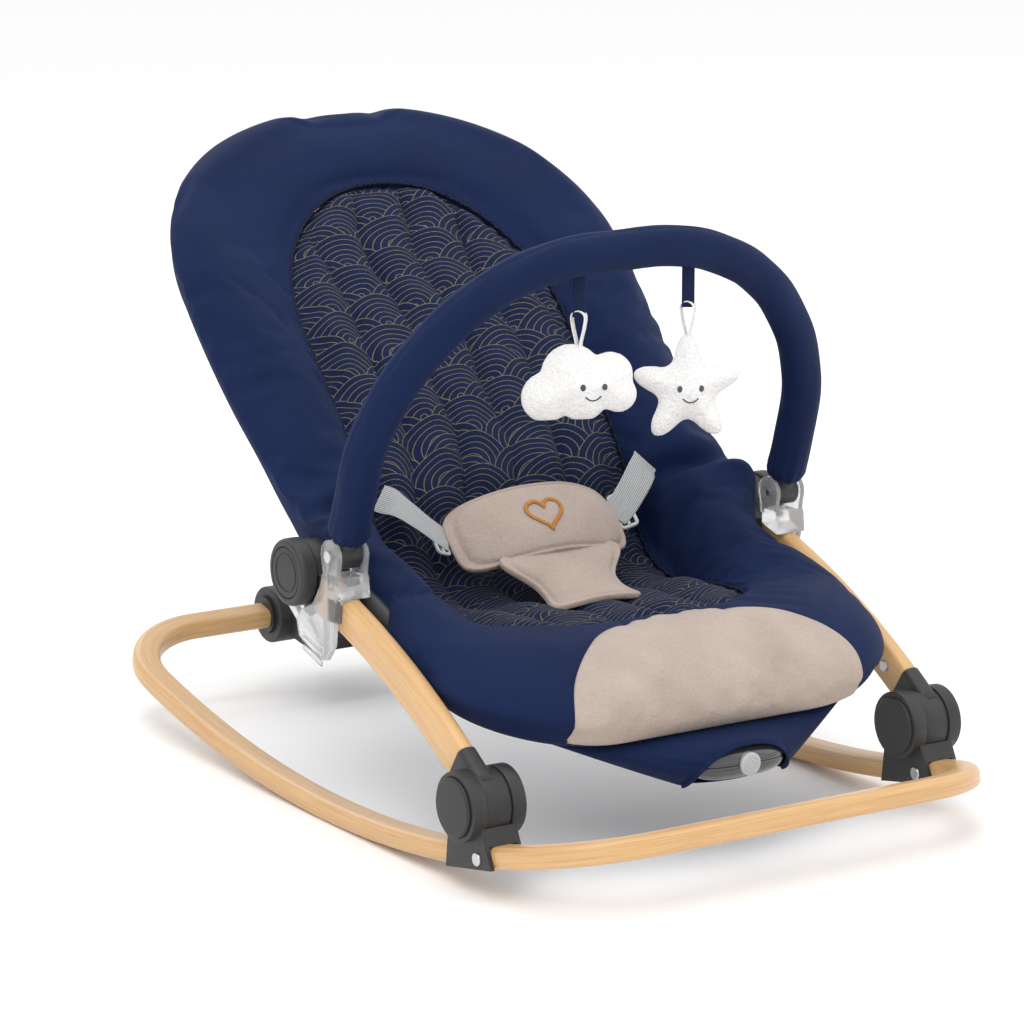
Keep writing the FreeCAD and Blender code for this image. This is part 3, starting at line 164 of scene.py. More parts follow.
def smoothstep(x, low, high):
    """0 up to low, 1 from high on, and a smooth rise between them."""
    t = np.clip((np.asarray(x, float) - low) / (high - low), 0, 1)
    return t * t * (3 - 2 * t)


def through(table, x):
    """A smooth curve through the (x, value) pairs of a table."""
    keys = np.array([k for k, value in table], float)
    values = np.array([value for k, value in table], float)
    slopes = np.gradient(values, keys)
    x = np.clip(np.asarray(x, float), keys[0], keys[-1])
    i = np.clip(np.searchsorted(keys, x, side="right") - 1, 0, len(keys) - 2)
    width = keys[i + 1] - keys[i]
    t = (x - keys[i]) / width
    a, b = values[i], values[i + 1]
    return ((2 * t**3 - 3 * t**2 + 1) * a + (t**3 - 2 * t**2 + t) * width * slopes[i]
            + (3 * t**2 - 2 * t**3) * b + (t**3 - t**2) * width * slopes[i + 1])


def full_turn(count):
    """Evenly spaced angles round a circle, the last one short of the first."""
    return np.linspace(0, 2 * math.pi, count, endpoint=False)


def pairs(rows, columns):
    """Every (row value, column value), as (rows, columns, 2)."""
    return np.stack(np.meshgrid(rows, columns, indexing="ij"), -1)


def unit(directions):
    """An array (n, 3) of directions at length 1."""
    return directions / np.linalg.norm(directions, axis=1)[:, None]


def spline(points, count, closed=False):
    """Evenly numbered points on a Catmull-Rom curve through an array (k, 3)."""
    points = np.asarray(points, float)
    k = len(points)
    spans = k if closed else k - 1
    t = np.linspace(0, spans, count, endpoint=not closed)
    i = np.minimum(t.astype(int), spans - 1)
    f = (t - i)[:, None]
    if closed:
        p0, p1, p2, p3 = (points[(i + o) % k] for o in (-1, 0, 1, 2))
    else:
        padded = np.vstack([2 * points[0] - points[1], points, 2 * points[-1] - points[-2]])
        p0, p1, p2, p3 = (padded[i + o] for o in (0, 1, 2, 3))
    return 0.5 * (2 * p1 + (p2 - p0) * f + (2 * p0 - 5 * p1 + 4 * p2 - p3) * f**2
                  + (3 * p1 - p0 - 3 * p2 + p3) * f**3)


def lengths(points):
    """The distance along a line of points, from its start."""
    steps = np.linalg.norm(np.diff(points, axis=0), axis=1)
    return np.concatenate([[0], np.cumsum(steps)])


def sweep(name, path, up, section, closed=False):
    """A section, (k, 2) across and up, along a path (n, 3) with its up directions (n, 3).
    UVs run along the path and around the section, in metres."""
    path, up, section = (np.asarray(a, float) for a in (path, up, section))
    ahead = unit(np.roll(path, -1, 0) - np.roll(path, 1, 0) if closed else np.gradient(path, axis=0))
    across = unit(np.cross(ahead, up))
    lift = np.cross(across, ahead)
    points = path[:, None] + across[:, None] * section[None, :, :1] + lift[:, None] * section[None, :, 1:]
    uv = pairs(lengths(path), lengths(section))
    return grid(name, points, closed, True, uv, not closed)


def rounded_section(wide, tall, corner, steps=6):
    """A rounded rectangle, centred, as (k, 2)."""
    points = []
    for quarter, (sx, sy) in enumerate(((1, 1), (-1, 1), (-1, -1), (1, -1))):
        for step in range(steps + 1):
            t = math.radians(90 * (quarter + step / steps))
            points.append((sx * (wide / 2 - corner) + corner * math.cos(t),
                           sy * (tall / 2 - corner) + corner * math.sin(t)))
    return np.array(points)


def ring_of(radius, count=24):
    """A circle, as (count, 2)."""
    t = full_turn(count)
    return np.stack([radius * np.cos(t), radius * np.sin(t)], -1)


def turned(name, side, centre, profile):
    """A part turned about an axis along X: profile is (out from the middle, radius) pairs."""
    turn = full_turn(72)
    x, r = np.array(profile).T
    rows = np.stack([side * x[:, None] + 0 * turn, centre[0] + r[:, None] * np.cos(turn),
                     centre[1] + r[:, None] * np.sin(turn)], -1)
    return grid(name, rows, True, True)


def modify(thing, kind, **settings):
    """Adds a modifier and returns it."""
    modifier = thing.modifiers.new(kind.lower(), kind)
    for key, value in settings.items():
        setattr(modifier, key, value)
    return modifier


def settle(thing):
    """Applies every modifier of a mesh object."""
    graph = bpy.context.evaluated_depsgraph_get()
    final = bpy.data.meshes.new_from_object(thing.evaluated_get(graph))
    thing.modifiers.clear()
    thing.data = final


def dress(thing, look, slot, *nodes):
    """The piece takes a material and stands for CAD nodes; slot is not used."""
    thing.data.materials.append(M[look])
    if nodes:
        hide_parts(*nodes)
    return thing


def place_on(thing, look, body, slot, *nodes):
    """The same, for a piece that rides on one body."""
    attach(thing, body)
    return dress(thing, look, slot, *nodes)


# ---------------------------------------------------------------- material helpers

def new_material(name):
    """A material with one principled shader: the material, its node tree and the shader."""
    material = bpy.data.materials.new(name)
    material.use_nodes = True
    tree = material.node_tree
    tree.nodes.clear()
    output = tree.nodes.new("ShaderNodeOutputMaterial")
    shader = tree.nodes.new("ShaderNodeBsdfPrincipled")
    tree.links.new(shader.outputs[0], output.inputs[0])
    return material, tree, shader


def add(tree, kind, inputs=(), **settings):
    """A shader node; inputs are (socket, value or output) pairs."""
    node = tree.nodes.new("ShaderNode" + kind)
    for key, value in settings.items():
        setattr(node, key, value)
    for key, value in inputs:
        if isinstance(value, bpy.types.NodeSocket):
            tree.links.new(value, node.inputs[key])
        else:
            node.inputs[key].default_value = value
    return node


def maths(tree, operation, a, b=0.0, c=0.0):
    """The output of a math node."""
    return add(tree, "Math", ((0, a), (1, b), (2, c)), operation=operation).outputs[0]


def position(tree, scale=(1, 1, 1), uv=False):
    """Object coordinates, or the mesh's UVs, scaled."""
    source = add(tree, "TexCoord").outputs["UV" if uv else "Object"]
    return add(tree, "Mapping", (("Vector", source), ("Scale", scale))).outputs[0]


def noise(tree, vector, scale, detail=3.0, rough=0.5):
    """The height of a noise texture, 0 to 1."""
    return add(tree, "TexNoise", (("Vector", vector), ("Scale", scale), ("Detail", detail),
                                  ("Roughness", rough))).outputs[0]


def ramp(tree, value, *stops):
    """Colours at places along 0 to 1."""
    node = add(tree, "ValToRGB", ((0, value),))
    points = node.color_ramp.elements
    while len(points) < len(stops):
        points.new(0.5)
    for point, (place, colour) in zip(points, stops):
        point.position = place
        point.color = (*colour, 1)
    return node.outputs[0]


def mix(tree, share, a, b):
    """Colour a, with a share of colour b."""
    node = add(tree, "Mix", ((0, share),), data_type="RGBA")
    for socket, value in ((6, a), (7, b)):
        if isinstance(value, bpy.types.NodeSocket):
            tree.links.new(value, node.inputs[socket])
        else:
            node.inputs[socket].default_value = (*value, 1)
    return node.outputs[2]


def bump(tree, shader, height, depth, strength=1.0):
    """The shader's surface follows a height, to a depth in metres."""
    node = add(tree, "Bump", (("Height", height), ("Distance", depth), ("Strength", strength)))
    tree.links.new(node.outputs[0], shader.inputs["Normal"])


def set_shader(shader, **values):
    """Sets inputs of the shader, named with _ for a space."""
    for key, value in values.items():
        shader.inputs[key.replace("_", " ")].default_value = value


def weave(tree, vector, pitch):
    """The height of a plain weave of that pitch."""
    parts = add(tree, "SeparateXYZ", ((0, vector),)).outputs
    waves = [maths(tree, "SINE", maths(tree, "MULTIPLY", parts[i], 2 * math.pi / pitch)) for i in (0, 1)]
    return maths(tree, "MULTIPLY", waves[0], waves[1])


# ---------------------------------------------------------------- materials

NAVY = (0.0035, 0.0130, 0.0580)
NAVY_DARK = (0.0022, 0.0082, 0.0400)
WEAVE_PITCH = 0.0011
ARC_RADIUS, ARC_RISE = 0.040, 0.0150


def cotton(name, light, dark, uv=True):
    """Plain-weave cotton, a little crumpled."""
    material, tree, shader = new_material(name)
    where = position(tree, uv=uv)
    tone = noise(tree, where, 9.0, 4)
    colour = ramp(tree, tone, (0.3, dark), (0.7, light))
    fibre = noise(tree, position(tree, (1, 1, 1), uv), 900.0, 2)
    colour = mix(tree, 0.22, colour, ramp(tree, fibre, (0.3, dark), (0.75, tuple(c * 1.6 for c in light))))
    tree.links.new(colour, shader.inputs["Base Color"])
    set_shader(shader, Roughness=0.72, Sheen_Weight=0.035, Sheen_Roughness=0.45,
               Sheen_Tint=(0.45, 0.6, 1.0, 1), Specular_IOR_Level=0.16)
    crumple = noise(tree, where, 38.0, 3)
    height = maths(tree, "MULTIPLY_ADD", weave(tree, where, WEAVE_PITCH), 0.10, crumple)
    bump(tree, shader, height, 0.0012, 0.7)
    return material


def scallops(tree, where, radius, rise, rows=5):
    """1 on the thin lines of overlapping rows of arcs, else 0. Each row hides the one behind
    it and is shifted sideways by an amount of its own."""
    parts = add(tree, "SeparateXYZ", ((0, where),)).outputs
    x, y = parts[0], parts[1]
    first = maths(tree, "FLOOR", maths(tree, "DIVIDE", maths(tree, "SUBTRACT", y, radius), rise))
    result = None
    for back in range(rows, 0, -1):
        row = maths(tree, "ADD", first, float(back))
        shift = add(tree, "TexWhiteNoise", (("W", row),), noise_dimensions="1D").outputs["Value"]
        parity = maths(tree, "MULTIPLY", maths(tree, "MODULO", maths(tree, "ABSOLUTE", row), 2.0), radius)
        offset = maths(tree, "MULTIPLY_ADD", shift, radius * 0.7, parity)
        along = maths(tree, "ADD", x, offset)
        cell = maths(tree, "SUBTRACT", maths(tree, "FLOORED_MODULO", along, 2 * radius), radius)
        drop = maths(tree, "MULTIPLY", maths(tree, "SUBTRACT", y, maths(tree, "MULTIPLY", row, rise)), 1.35)
        away = maths(tree, "SQRT", maths(tree, "ADD", maths(tree, "MULTIPLY", cell, cell),
                                         maths(tree, "MULTIPLY", drop, drop)))
        if result is None:
            result = away
            continue
        inside = maths(tree, "LESS_THAN", away, radius)
        node = add(tree, "Mix", ((0, inside), (2, result), (3, away)), data_type="FLOAT")
        result = node.outputs[0]
    pitch = radius / 6.5
    phase = maths(tree, "FRACT", maths(tree, "DIVIDE", maths(tree, "SUBTRACT", radius, result), pitch))
    return maths(tree, "LESS_THAN", phase, 0.105)


def print_cotton():
    """Dark cotton with thin gold arcs in overlapping rows."""
    material, tree, shader = new_material("liner_print")
    where = position(tree, uv=True)
    warp = add(tree, "TexNoise", (("Vector", where), ("Scale", 14.0)))
    bent = add(tree, "VectorMath", ((0, warp.outputs["Color"]), (1, (0.006, 0.006, 0))), operation="MULTIPLY")
    moved = add(tree, "VectorMath", ((0, where), (1, bent.outputs[0])), operation="ADD").outputs[0]
    line = scallops(tree, moved, ARC_RADIUS, ARC_RISE)
    fibre = noise(tree, where, 900.0, 2)
    navy = ramp(tree, fibre, (0.3, tuple(c * 0.8 for c in NAVY_DARK)), (0.75, NAVY))
    gold = ramp(tree, fibre, (0.3, (0.11, 0.095, 0.05)), (0.7, (0.23, 0.20, 0.11)))
    tree.links.new(mix(tree, line, navy, gold), shader.inputs["Base Color"])
    set_shader(shader, Roughness=0.8, Sheen_Weight=0.02, Specular_IOR_Level=0.2)
    height = maths(tree, "MULTIPLY_ADD", weave(tree, where, WEAVE_PITCH), 0.12,
                   noise(tree, where, 45.0, 3))
    bump(tree, shader, height, 0.0012, 0.7)
    return material


def velour():
    """Warm grey velour with a short pile."""
    material, tree, shader = new_material("velour")
    where = position(tree)
    clouds = noise(tree, where, 22.0, 4)
    pile = noise(tree, where, 1400.0, 2)
    colour = ramp(tree, clouds, (0.3, (0.385, 0.310, 0.265)), (0.7, (0.485, 0.400, 0.350)))
    tips = ramp(tree, pile, (0.3, (0.29, 0.23, 0.195)), (0.7, (0.54, 0.455, 0.405)))
    colour = mix(tree, 0.35, colour, tips)
    tree.links.new(colour, shader.inputs["Base Color"])
    set_shader(shader, Roughness=0.95, Sheen_Weight=0.22, Sheen_Roughness=0.35, Specular_IOR_Level=0.1)
    height = maths(tree, "MULTIPLY_ADD", pile, 0.5, noise(tree, where, 240.0, 3))
    bump(tree, shader, height, 0.0016, 0.7)
    return material


def plush():
    """White plush."""
    material, tree, shader = new_material("plush")
    where = position(tree)
    pile = noise(tree, where, 900.0, 3)
    colour = ramp(tree, pile, (0.3, (0.70, 0.69, 0.68)), (0.7, (0.90, 0.89, 0.88)))
    tree.links.new(colour, shader.inputs["Base Color"])
    set_shader(shader, Roughness=0.95, Sheen_Weight=0.5, Sheen_Roughness=0.4, Specular_IOR_Level=0.1)
    height = maths(tree, "MULTIPLY_ADD", pile, 0.5, noise(tree, where, 260.0, 3))
    bump(tree, shader, height, 0.0022, 0.8)
    return material


def wood():
    """Oak-look coat: grain along the tube, from its UVs."""
    material, tree, shader = new_material("wood_coat")
    broad = noise(tree, position(tree, (2.2, 60, 1), True), 1.0, 4, 0.6)
    fine = noise(tree, position(tree, (14, 700, 1), True), 1.0, 5, 0.65)
    pores = noise(tree, position(tree, (60, 2600, 1), True), 1.0, 2)
    colour = ramp(tree, broad, (0.25, (0.46, 0.250, 0.090)), (0.5, (0.60, 0.350, 0.138)),
                  (0.78, (0.70, 0.425, 0.182)))
    grain = ramp(tree, fine, (0.32, (0.42, 0.225, 0.085)), (0.62, (0.71, 0.455, 0.215)))
    colour = mix(tree, 0.45, colour, grain)
    dark = ramp(tree, pores, (0.60, (0, 0, 0)), (0.72, (1, 1, 1)))
    colour = mix(tree, maths(tree, "MULTIPLY", dark, 0.28), colour, (0.36, 0.20, 0.085))
    tree.links.new(colour, shader.inputs["Base Color"])
    set_shader(shader, Roughness=0.42, Coat_Weight=0.35, Coat_Roughness=0.22)
    bump(tree, shader, fine, 0.00012, 0.6)
    return material


def moulded(name, colour, rough=0.55, grain=2600.0, depth=0.00012, coat=0.0):
    """Moulded plastic with a fine spark-eroded texture."""
    material, tree, shader = new_material(name)
    where = position(tree)
    worn = noise(tree, where, 26.0, 3)
    base = ramp(tree, worn, (0.3, tuple(c * 0.85 for c in colour)), (0.7, tuple(c * 1.15 for c in colour)))
    tree.links.new(base, shader.inputs["Base Color"])
    set_shader(shader, Coat_Weight=coat, Coat_Roughness=0.08)
    gloss = maths(tree, "MULTIPLY_ADD", worn, 0.12, rough - 0.06)
    tree.links.new(gloss, shader.inputs["Roughness"])
    bump(tree, shader, noise(tree, where, grain, 2), depth)
    return material


def metal(name, colour, rough):
    """Brushed metal."""
    material, tree, shader = new_material(name)
    where = position(tree)
    brushed = noise(tree, position(tree, (1, 30, 30)), 60.0, 3)
    tree.links.new(ramp(tree, brushed, (0.3, tuple(c * 0.85 for c in colour)), (0.7, colour)),
                   shader.inputs["Base Color"])
    set_shader(shader, Metallic=1.0, Roughness=rough)
    bump(tree, shader, noise(tree, where, 500.0, 2), 0.00006)
    return material


def clear():
    """Frosted clear plastic."""
    material, tree, shader = new_material("clear_plastic")
    where = position(tree)
    haze = noise(tree, where, 60.0, 3)
    tree.links.new(ramp(tree, haze, (0.3, (0.90, 0.91, 0.92)), (0.7, (0.97, 0.97, 0.98))),
                   shader.inputs["Base Color"])
    set_shader(shader, Roughness=0.26, Transmission_Weight=0.86, IOR=1.30, Coat_Weight=0.2)
    bump(tree, shader, haze, 0.0004, 0.5)
    return material


def webbing():
    """Light grey tape with fine ribs along it, from its UVs. Its colour follows the ribs: painted shade
    darkens the valleys between them.
    """
    material, tree, shader = new_material("webbing")
    parts = add(tree, "SeparateXYZ", ((0, position(tree, uv=True)),)).outputs
    ribs = maths(tree, "SINE", maths(tree, "MULTIPLY", parts[1], 2 * math.pi / 0.0016))
    picks = maths(tree, "SINE", maths(tree, "MULTIPLY", parts[0], 2 * math.pi / 0.0012))
    # painted shade: the tone follows the rib wave, so the valleys between the ribs are coloured darker than
    # the crests
    tone = maths(tree, "MULTIPLY_ADD", ribs, 0.35, 0.5)
    tree.links.new(ramp(tree, tone, (0.1, (0.24, 0.25, 0.26)), (0.9, (0.62, 0.63, 0.64))),
                   shader.inputs["Base Color"])
    set_shader(shader, Roughness=0.7, Sheen_Weight=0.2)
    bump(tree, shader, maths(tree, "MULTIPLY_ADD", picks, 0.3, ribs), 0.0005, 0.8)
    return material


M = {
    "navy": cotton("navy_cotton", NAVY, NAVY_DARK),
    "navy_tape": cotton("navy_tape", NAVY_DARK, (0.008, 0.016, 0.05), uv=False),
    "thread": cotton("black_thread", (0.012, 0.016, 0.035), (0.006, 0.008, 0.02), uv=False),
    "print": print_cotton(),
    "velour": velour(),
    "plush": plush(),
    "wood": wood(),
    "black": moulded("black_plastic", (0.021, 0.021, 0.022), 0.5),
    "button": moulded("button_plastic", (0.013, 0.013, 0.015), 0.5),
    "graphite": moulded("graphite", (0.035, 0.038, 0.045), 0.25, depth=0.00002, coat=0.8),
    "silver": moulded("silver_plastic", (0.42, 0.43, 0.44), 0.32, coat=0.3),
    "white": moulded("white_plastic", (0.78, 0.78, 0.78), 0.35),
    "rubber": moulded("rubber", (0.02, 0.02, 0.02), 0.8, grain=900.0),
    "steel": metal("zinc_steel", (0.62, 0.62, 0.62), 0.3),
    "hoop": moulded("hoop_coat", (0.03, 0.03, 0.032), 0.4),
    "clear": clear(),
    "webbing": webbing(),
    "gold_thread": cotton("gold_thread", (0.50, 0.22, 0.05), (0.33, 0.13, 0.03), uv=False),
    "grey_thread": cotton("grey_thread", (0.10, 0.10, 0.11), (0.05, 0.05, 0.06), uv=False),
}


# ---------------------------------------------------------------- rocker base and legs

ROCKER_RADIUS = 1.150
TUBE = (0.0235, 0.0170, 0.006)
LEG_TUBE = (0.0150, 0.0310, 0.006)
BASE_HALF = 0.2035
BALANCE_Y = -0.028
RAIL_RADIUS = ROCKER_RADIUS - TUBE[1] / 2
SEAM_Y = FOLD[1]


def half_base(end_y, bend, facing):
    """The path and up directions of one half of the base, from its left rail round to its right."""
    along = abs(end_y - BALANCE_Y)
    rise = math.asin(along / math.hypot(RAIL_RADIUS, bend)) - math.atan2(bend, RAIL_RADIUS)
    start = math.asin((SEAM_Y - BALANCE_Y) / RAIL_RADIUS)
    turns = np.linspace(start, facing * rise, 60 if facing > 0 else 16)
    rail = np.stack([np.full(len(turns), BASE_HALF), BALANCE_Y + RAIL_RADIUS * np.sin(turns),
                     ROCKER_RADIUS - RAIL_RADIUS * np.cos(turns)], -1)
    rail_up = np.stack([np.zeros(len(turns)), -np.sin(turns), np.cos(turns)], -1)
    forward = np.array([0, facing * math.cos(rise), math.sin(rise)])
    quarter = np.linspace(0, math.pi / 2, 17)[1:, None]
    corner = rail[-1] + bend * (np.sin(quarter) * forward + (np.cos(quarter) - 1) * np.array([1.0, 0, 0]))
    bar = np.linspace(corner[-1], corner[-1] * np.array([0, 1, 1]), 9)[1:]
    path = np.vstack([rail, corner, bar])
    up = np.vstack([rail_up, np.repeat(rail_up[-1:], len(corner) + len(bar), 0)])
    mirror = np.array([-1, 1, 1])
    return np.vstack([path, path[-2::-1] * mirror]), np.vstack([up, up[-2::-1] * mirror])


def base_tubes():
    """The base's two halves, which meet in the brackets of the fold hinges."""
    section = rounded_section(*TUBE)
    halves = (("rear_base_tube", 0.3385, 0.077, 1), ("front_base_tube", -0.351, 0.080, -1))
    for name, end_y, bend, facing in halves:
        path, up = half_base(end_y, bend, facing)
        tube = sweep("%s_wood" % name, path, up, section)
        place_on(tube, "wood", "base", "wood_tube", name)


LEG_RADIUS, LEG_X, LEG_CENTRE = 0.700, 0.2068, (0.1619, -0.4936)
LEG_LOW, LEG_HIGH = 33.4, 14.0


def leg_line(side, turns):
    """Points on a leg's curve, at angles from the vertical through its centre, and their up."""
    out = np.stack([np.zeros(len(turns)), -np.sin(turns), np.cos(turns)], -1)
    return np.array([side * LEG_X, *LEG_CENTRE]) + LEG_RADIUS * out, out


def legs():
    """The two curved legs, from the fold hinges up to the recline hinges."""
    turns = np.radians(np.linspace(LEG_LOW, LEG_HIGH, 40))
    section = rounded_section(*LEG_TUBE)
    for side, name in SIDES:
        path, up = leg_line(side, turns)
        leg = sweep("leg_%s_wood" % name, path, up, section)
        place_on(leg, "wood", "seat_frame", "wood_tube", "leg_%s" % name)


# ---------------------------------------------------------------- moulded parts from the CAD

def softened(node, look, body, slot, width=0.0009):
    """A copy of a CAD node's mesh with rounded edges, which stands for the node."""
    source = NODES[node]
    mesh = bmesh.new()
    mesh.from_mesh(source.data)
    bmesh.ops.remove_doubles(mesh, verts=mesh.verts, dist=2e-6)
    bmesh.ops.dissolve_limit(mesh, angle_limit=math.radians(1.0), verts=mesh.verts, edges=mesh.edges)
    data = bpy.data.meshes.new("%s_moulded" % node)
    mesh.to_mesh(data)
    mesh.free()
    thing = bpy.data.objects.new("%s_moulded" % node, data)
    bpy.context.collection.objects.link(thing)
    data.shade_smooth()
    modify(thing, "BEVEL", width=width, segments=2, limit_method="ANGLE", angle_limit=math.radians(38),
           harden_normals=True, use_clamp_overlap=True)
    settle(thing)
    thing.data.materials.clear()
    return place_on(thing, look, body, slot, node)


def moulded_parts():
    """The moulded parts that keep the CAD's form, with softened edges."""
    slots = {part["node"]: part["material_slot"] for part in frame["record"]["subparts"]}
    looks = {"hinge_plastic": "black", "button_plastic": "button", "white_plastic": "white",
             "clear_plastic": "clear", "grey_plastic": "silver"}
    shown = ("lower_bracket_left", "lower_bracket_right", "fold_button_left", "fold_button_right",
             "hinge_covers", "recline_housing_left", "recline_housing_right", "recline_button_left",
             "recline_button_right", "rocking_stop", "cover_hook_left", "cover_hook_right",
             "toy_clip_left", "toy_clip_right", "toy_bar_plugs")
    for node in shown:
        width = 0.0014 if "bracket" in node else 0.0009
        softened(node, looks[slots[node]], NODES[node]["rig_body"], slots[node], width)


def upper_sleeves():
    """The legs' barrels between the bracket's cheeks, and the sleeves that hug the legs' ends."""
    half = [(0.0107, 0.0060), (0.0107, 0.0248), (0.0104, 0.0253), (0.0098, 0.0255)]
    profile = [(BASE_HALF - x, r) for x, r in half] + [(BASE_HALF + x, r) for x, r in half[::-1]]
    angles = np.radians([32.88, 32.90, 32.95, 33.05, 33.4, 34.0, 34.8, 35.5])
    shrink = [0.95, 0.985, 0.996, 1.0, 1.0, 1.0, 1.0, 1.0]
    for side, name in SIDES:
        barrel = turned("leg_barrel_%s" % name, side, FOLD[1:], profile)
        place_on(barrel, "black", "seat_frame", "hinge_plastic", "upper_sleeve_%s" % name)
        section = rounded_section(0.0157, 0.0334, 0.0058)
        rows = []
        for middle, out, size in zip(*leg_line(side, angles), shrink):
            rows.append(middle + size * (section[:, :1] * np.array([1.0, 0, 0]) + section[:, 1:] * out))
        sleeve = grid("leg_sleeve_%s" % name, np.array(rows), False, True, caps=True)
        place_on(sleeve, "black", "seat_frame", "hinge_plastic")


def recline_discs():
    """The turned discs of the recline hinges, and the necks that enter the backrest's border."""
    profile = [(0.2168, 0.0070), (0.2168, 0.0240), (0.2169, 0.0254), (0.2180, 0.0264), (0.2192, 0.0265),
               (0.2270, 0.0265), (0.2288, 0.0262), (0.2305, 0.0252), (0.2313, 0.0238), (0.2315, 0.0224),
               (0.2315, 0.0214), (0.2313, 0.0207), (0.2307, 0.0204), (0.2250, 0.0204), (0.2246, 0.0200),
               (0.2245, 0.0070)]
    neck_x = np.array([0.2180, 0.2140, 0.2060, 0.1980])
    neck_s = np.array([0.010, 0.013, 0.018, 0.024])
    for side, name in SIDES:
        disc = turned("recline_disc_%s_turned" % name, side, RECLINE[1:], profile)
        place_on(disc, "black", "backrest", "hinge_plastic", "recline_disc_%s" % name)
        path = back_point(side * neck_x, neck_s, 0.0)
        up = back_point(0, 0, np.ones(4)) - back_point(0, 0, np.zeros(4))
        neck = sweep("recline_neck_%s" % name, path, up, rounded_section(0.0080, 0.0180, 0.003, 4))
        place_on(neck, "black", "backrest", "hinge_plastic")


def plain_nodes():
    """The small CAD pieces that stay as they are, with a finish of their own."""
    looks = {"joining_spigots": "black", "hinge_pins": "steel", "bracket_rivets": "steel",
             "fold_button_springs": "steel", "rear_bush": "black", "stop_pad": "rubber",
             "leg_screws": "steel", "clip_screws": "steel", "recline_axles": "steel",
             "seat_hoop": "hoop", "back_hoop": "hoop", "toy_bar_rod": "hoop",
             "vibration_batteries": "graphite", "vibration_motor": "steel", "eccentric_weight": "steel"}
    for node, look in looks.items():
        data = NODES[node].data
        data.materials.clear()
        data.materials.append(M[look])


# ---------------------------------------------------------------- the cover's own coordinates

# the cover bends smoothly this far before and after the recline axis
BEND = 0.05


def cover_line(v):
    """Y, Z and slope of the cover's middle line at v."""
    v = np.asarray(v, float)
    t = np.clip((v + BEND) / (2 * BEND), 0, 1)
    low = np.array([math.cos(SEAT_TILT), math.sin(SEAT_TILT)])
    high = np.array([math.cos(BACK_TILT), math.sin(BACK_TILT)])
    axis = np.array(RECLINE[1:])
    a, c = axis - BEND * low, axis + BEND * high
    curve = (((1 - t) ** 2)[..., None] * a + (2 * t * (1 - t))[..., None] * axis + (t**2)[..., None] * c)
    curve += np.minimum(v + BEND, 0)[..., None] * low + np.maximum(v - BEND, 0)[..., None] * high
    heading = (1 - t)[..., None] * low + t[..., None] * high
    return curve, np.arctan2(heading[..., 1], heading[..., 0])


def cover_point(u, v, n):
    """A point of the cover in the row frame."""
    line, slope = cover_line(v)
    u, n = np.broadcast_arrays(np.asarray(u, float), np.asarray(n, float))
    return np.stack([u, line[..., 0] - n * np.sin(slope), line[..., 1] + n * np.cos(slope)], -1)


# the liner's height above the hoops' plane, along the middle
LINER_HEIGHT = [(-0.175, 0.020), (-0.150, 0.013), (-0.120, 0.001), (-0.080, -0.016), (-0.040, -0.038),
                (0.0, -0.046), (0.030, -0.034), (0.060, -0.018), (0.120, -0.004), (0.200, 0.003),
                (0.300, 0.006), (0.354, 0.010)]
# the cover's outside half width
COVER_HALF = [(-0.172, 0.198), (-0.110, 0.198), (-0.084, 0.190), (-0.050, 0.188), (-0.030, 0.195),
              (-0.005, 0.2015), (0.020, 0.2015), (0.045, 0.202), (0.070, 0.204), (0.110, 0.206),
              (0.160, 0.210), (0.240, 0.211), (0.280, 0.209)]


def half_ring(front, back, half, front_corner, back_corner, steps):
    """Half of an outline in (u, v), from the middle of the front round to the middle of the back.
    Corners are (across, along) quarter ellipses; half is a width or a table of widths."""
    a, b, c, d = steps

    def width(v):
        return through(half, v) if isinstance(half, list) else np.full(np.shape(v), half)

    low, high = front + front_corner[1], back - back_corner[1]
    wide_low, wide_high = float(width(low)), float(width(high))
    turn = np.linspace(0, math.pi / 2, b + 1)[1:]
    back_turn = np.linspace(0, math.pi / 2, d + 1)[1:]
    side_v = np.linspace(low, high, c + 1)[1:]
    flat = np.linspace(0, wide_low - front_corner[0], a + 1)
    u = np.concatenate([flat, wide_low - front_corner[0] * (1 - np.sin(turn)), width(side_v),
                        wide_high - back_corner[0] * (1 - np.cos(back_turn))])
    v = np.concatenate([np.full(a + 1, front), low - front_corner[1] * np.cos(turn), side_v,
                        high + back_corner[1] * np.sin(back_turn)])
    return np.stack([u, v], -1)


def full_ring(half, top_steps):
    """Closes a half outline: across the top, then back down the other side."""
    top = np.linspace(half[-1, 0], -half[-1, 0], top_steps + 1)[1:-1]
    bridge = np.stack([top, np.full(len(top), half[-1, 1])], -1)
    return np.vstack([half, bridge, (half * np.array([-1, 1]))[:0:-1]])


RING_STEPS = (14, 22, 96, 40)
TOP_STEPS = 10
FRONT_LIFT = 0.011
COVER_FRONT, COVER_BACK = -0.274, 0.430
SEAM_FRONT, SEAM_BACK, SEAM_HALF = -0.168, 0.354, 0.124
OUTER = full_ring(half_ring(COVER_FRONT, COVER_BACK, COVER_HALF, (0.110, 0.100), (0.165, 0.165), RING_STEPS),
                  TOP_STEPS)
SEAM = full_ring(half_ring(SEAM_FRONT, SEAM_BACK, SEAM_HALF, (0.085, 0.062), (0.121, 0.140), RING_STEPS),
                 TOP_STEPS)


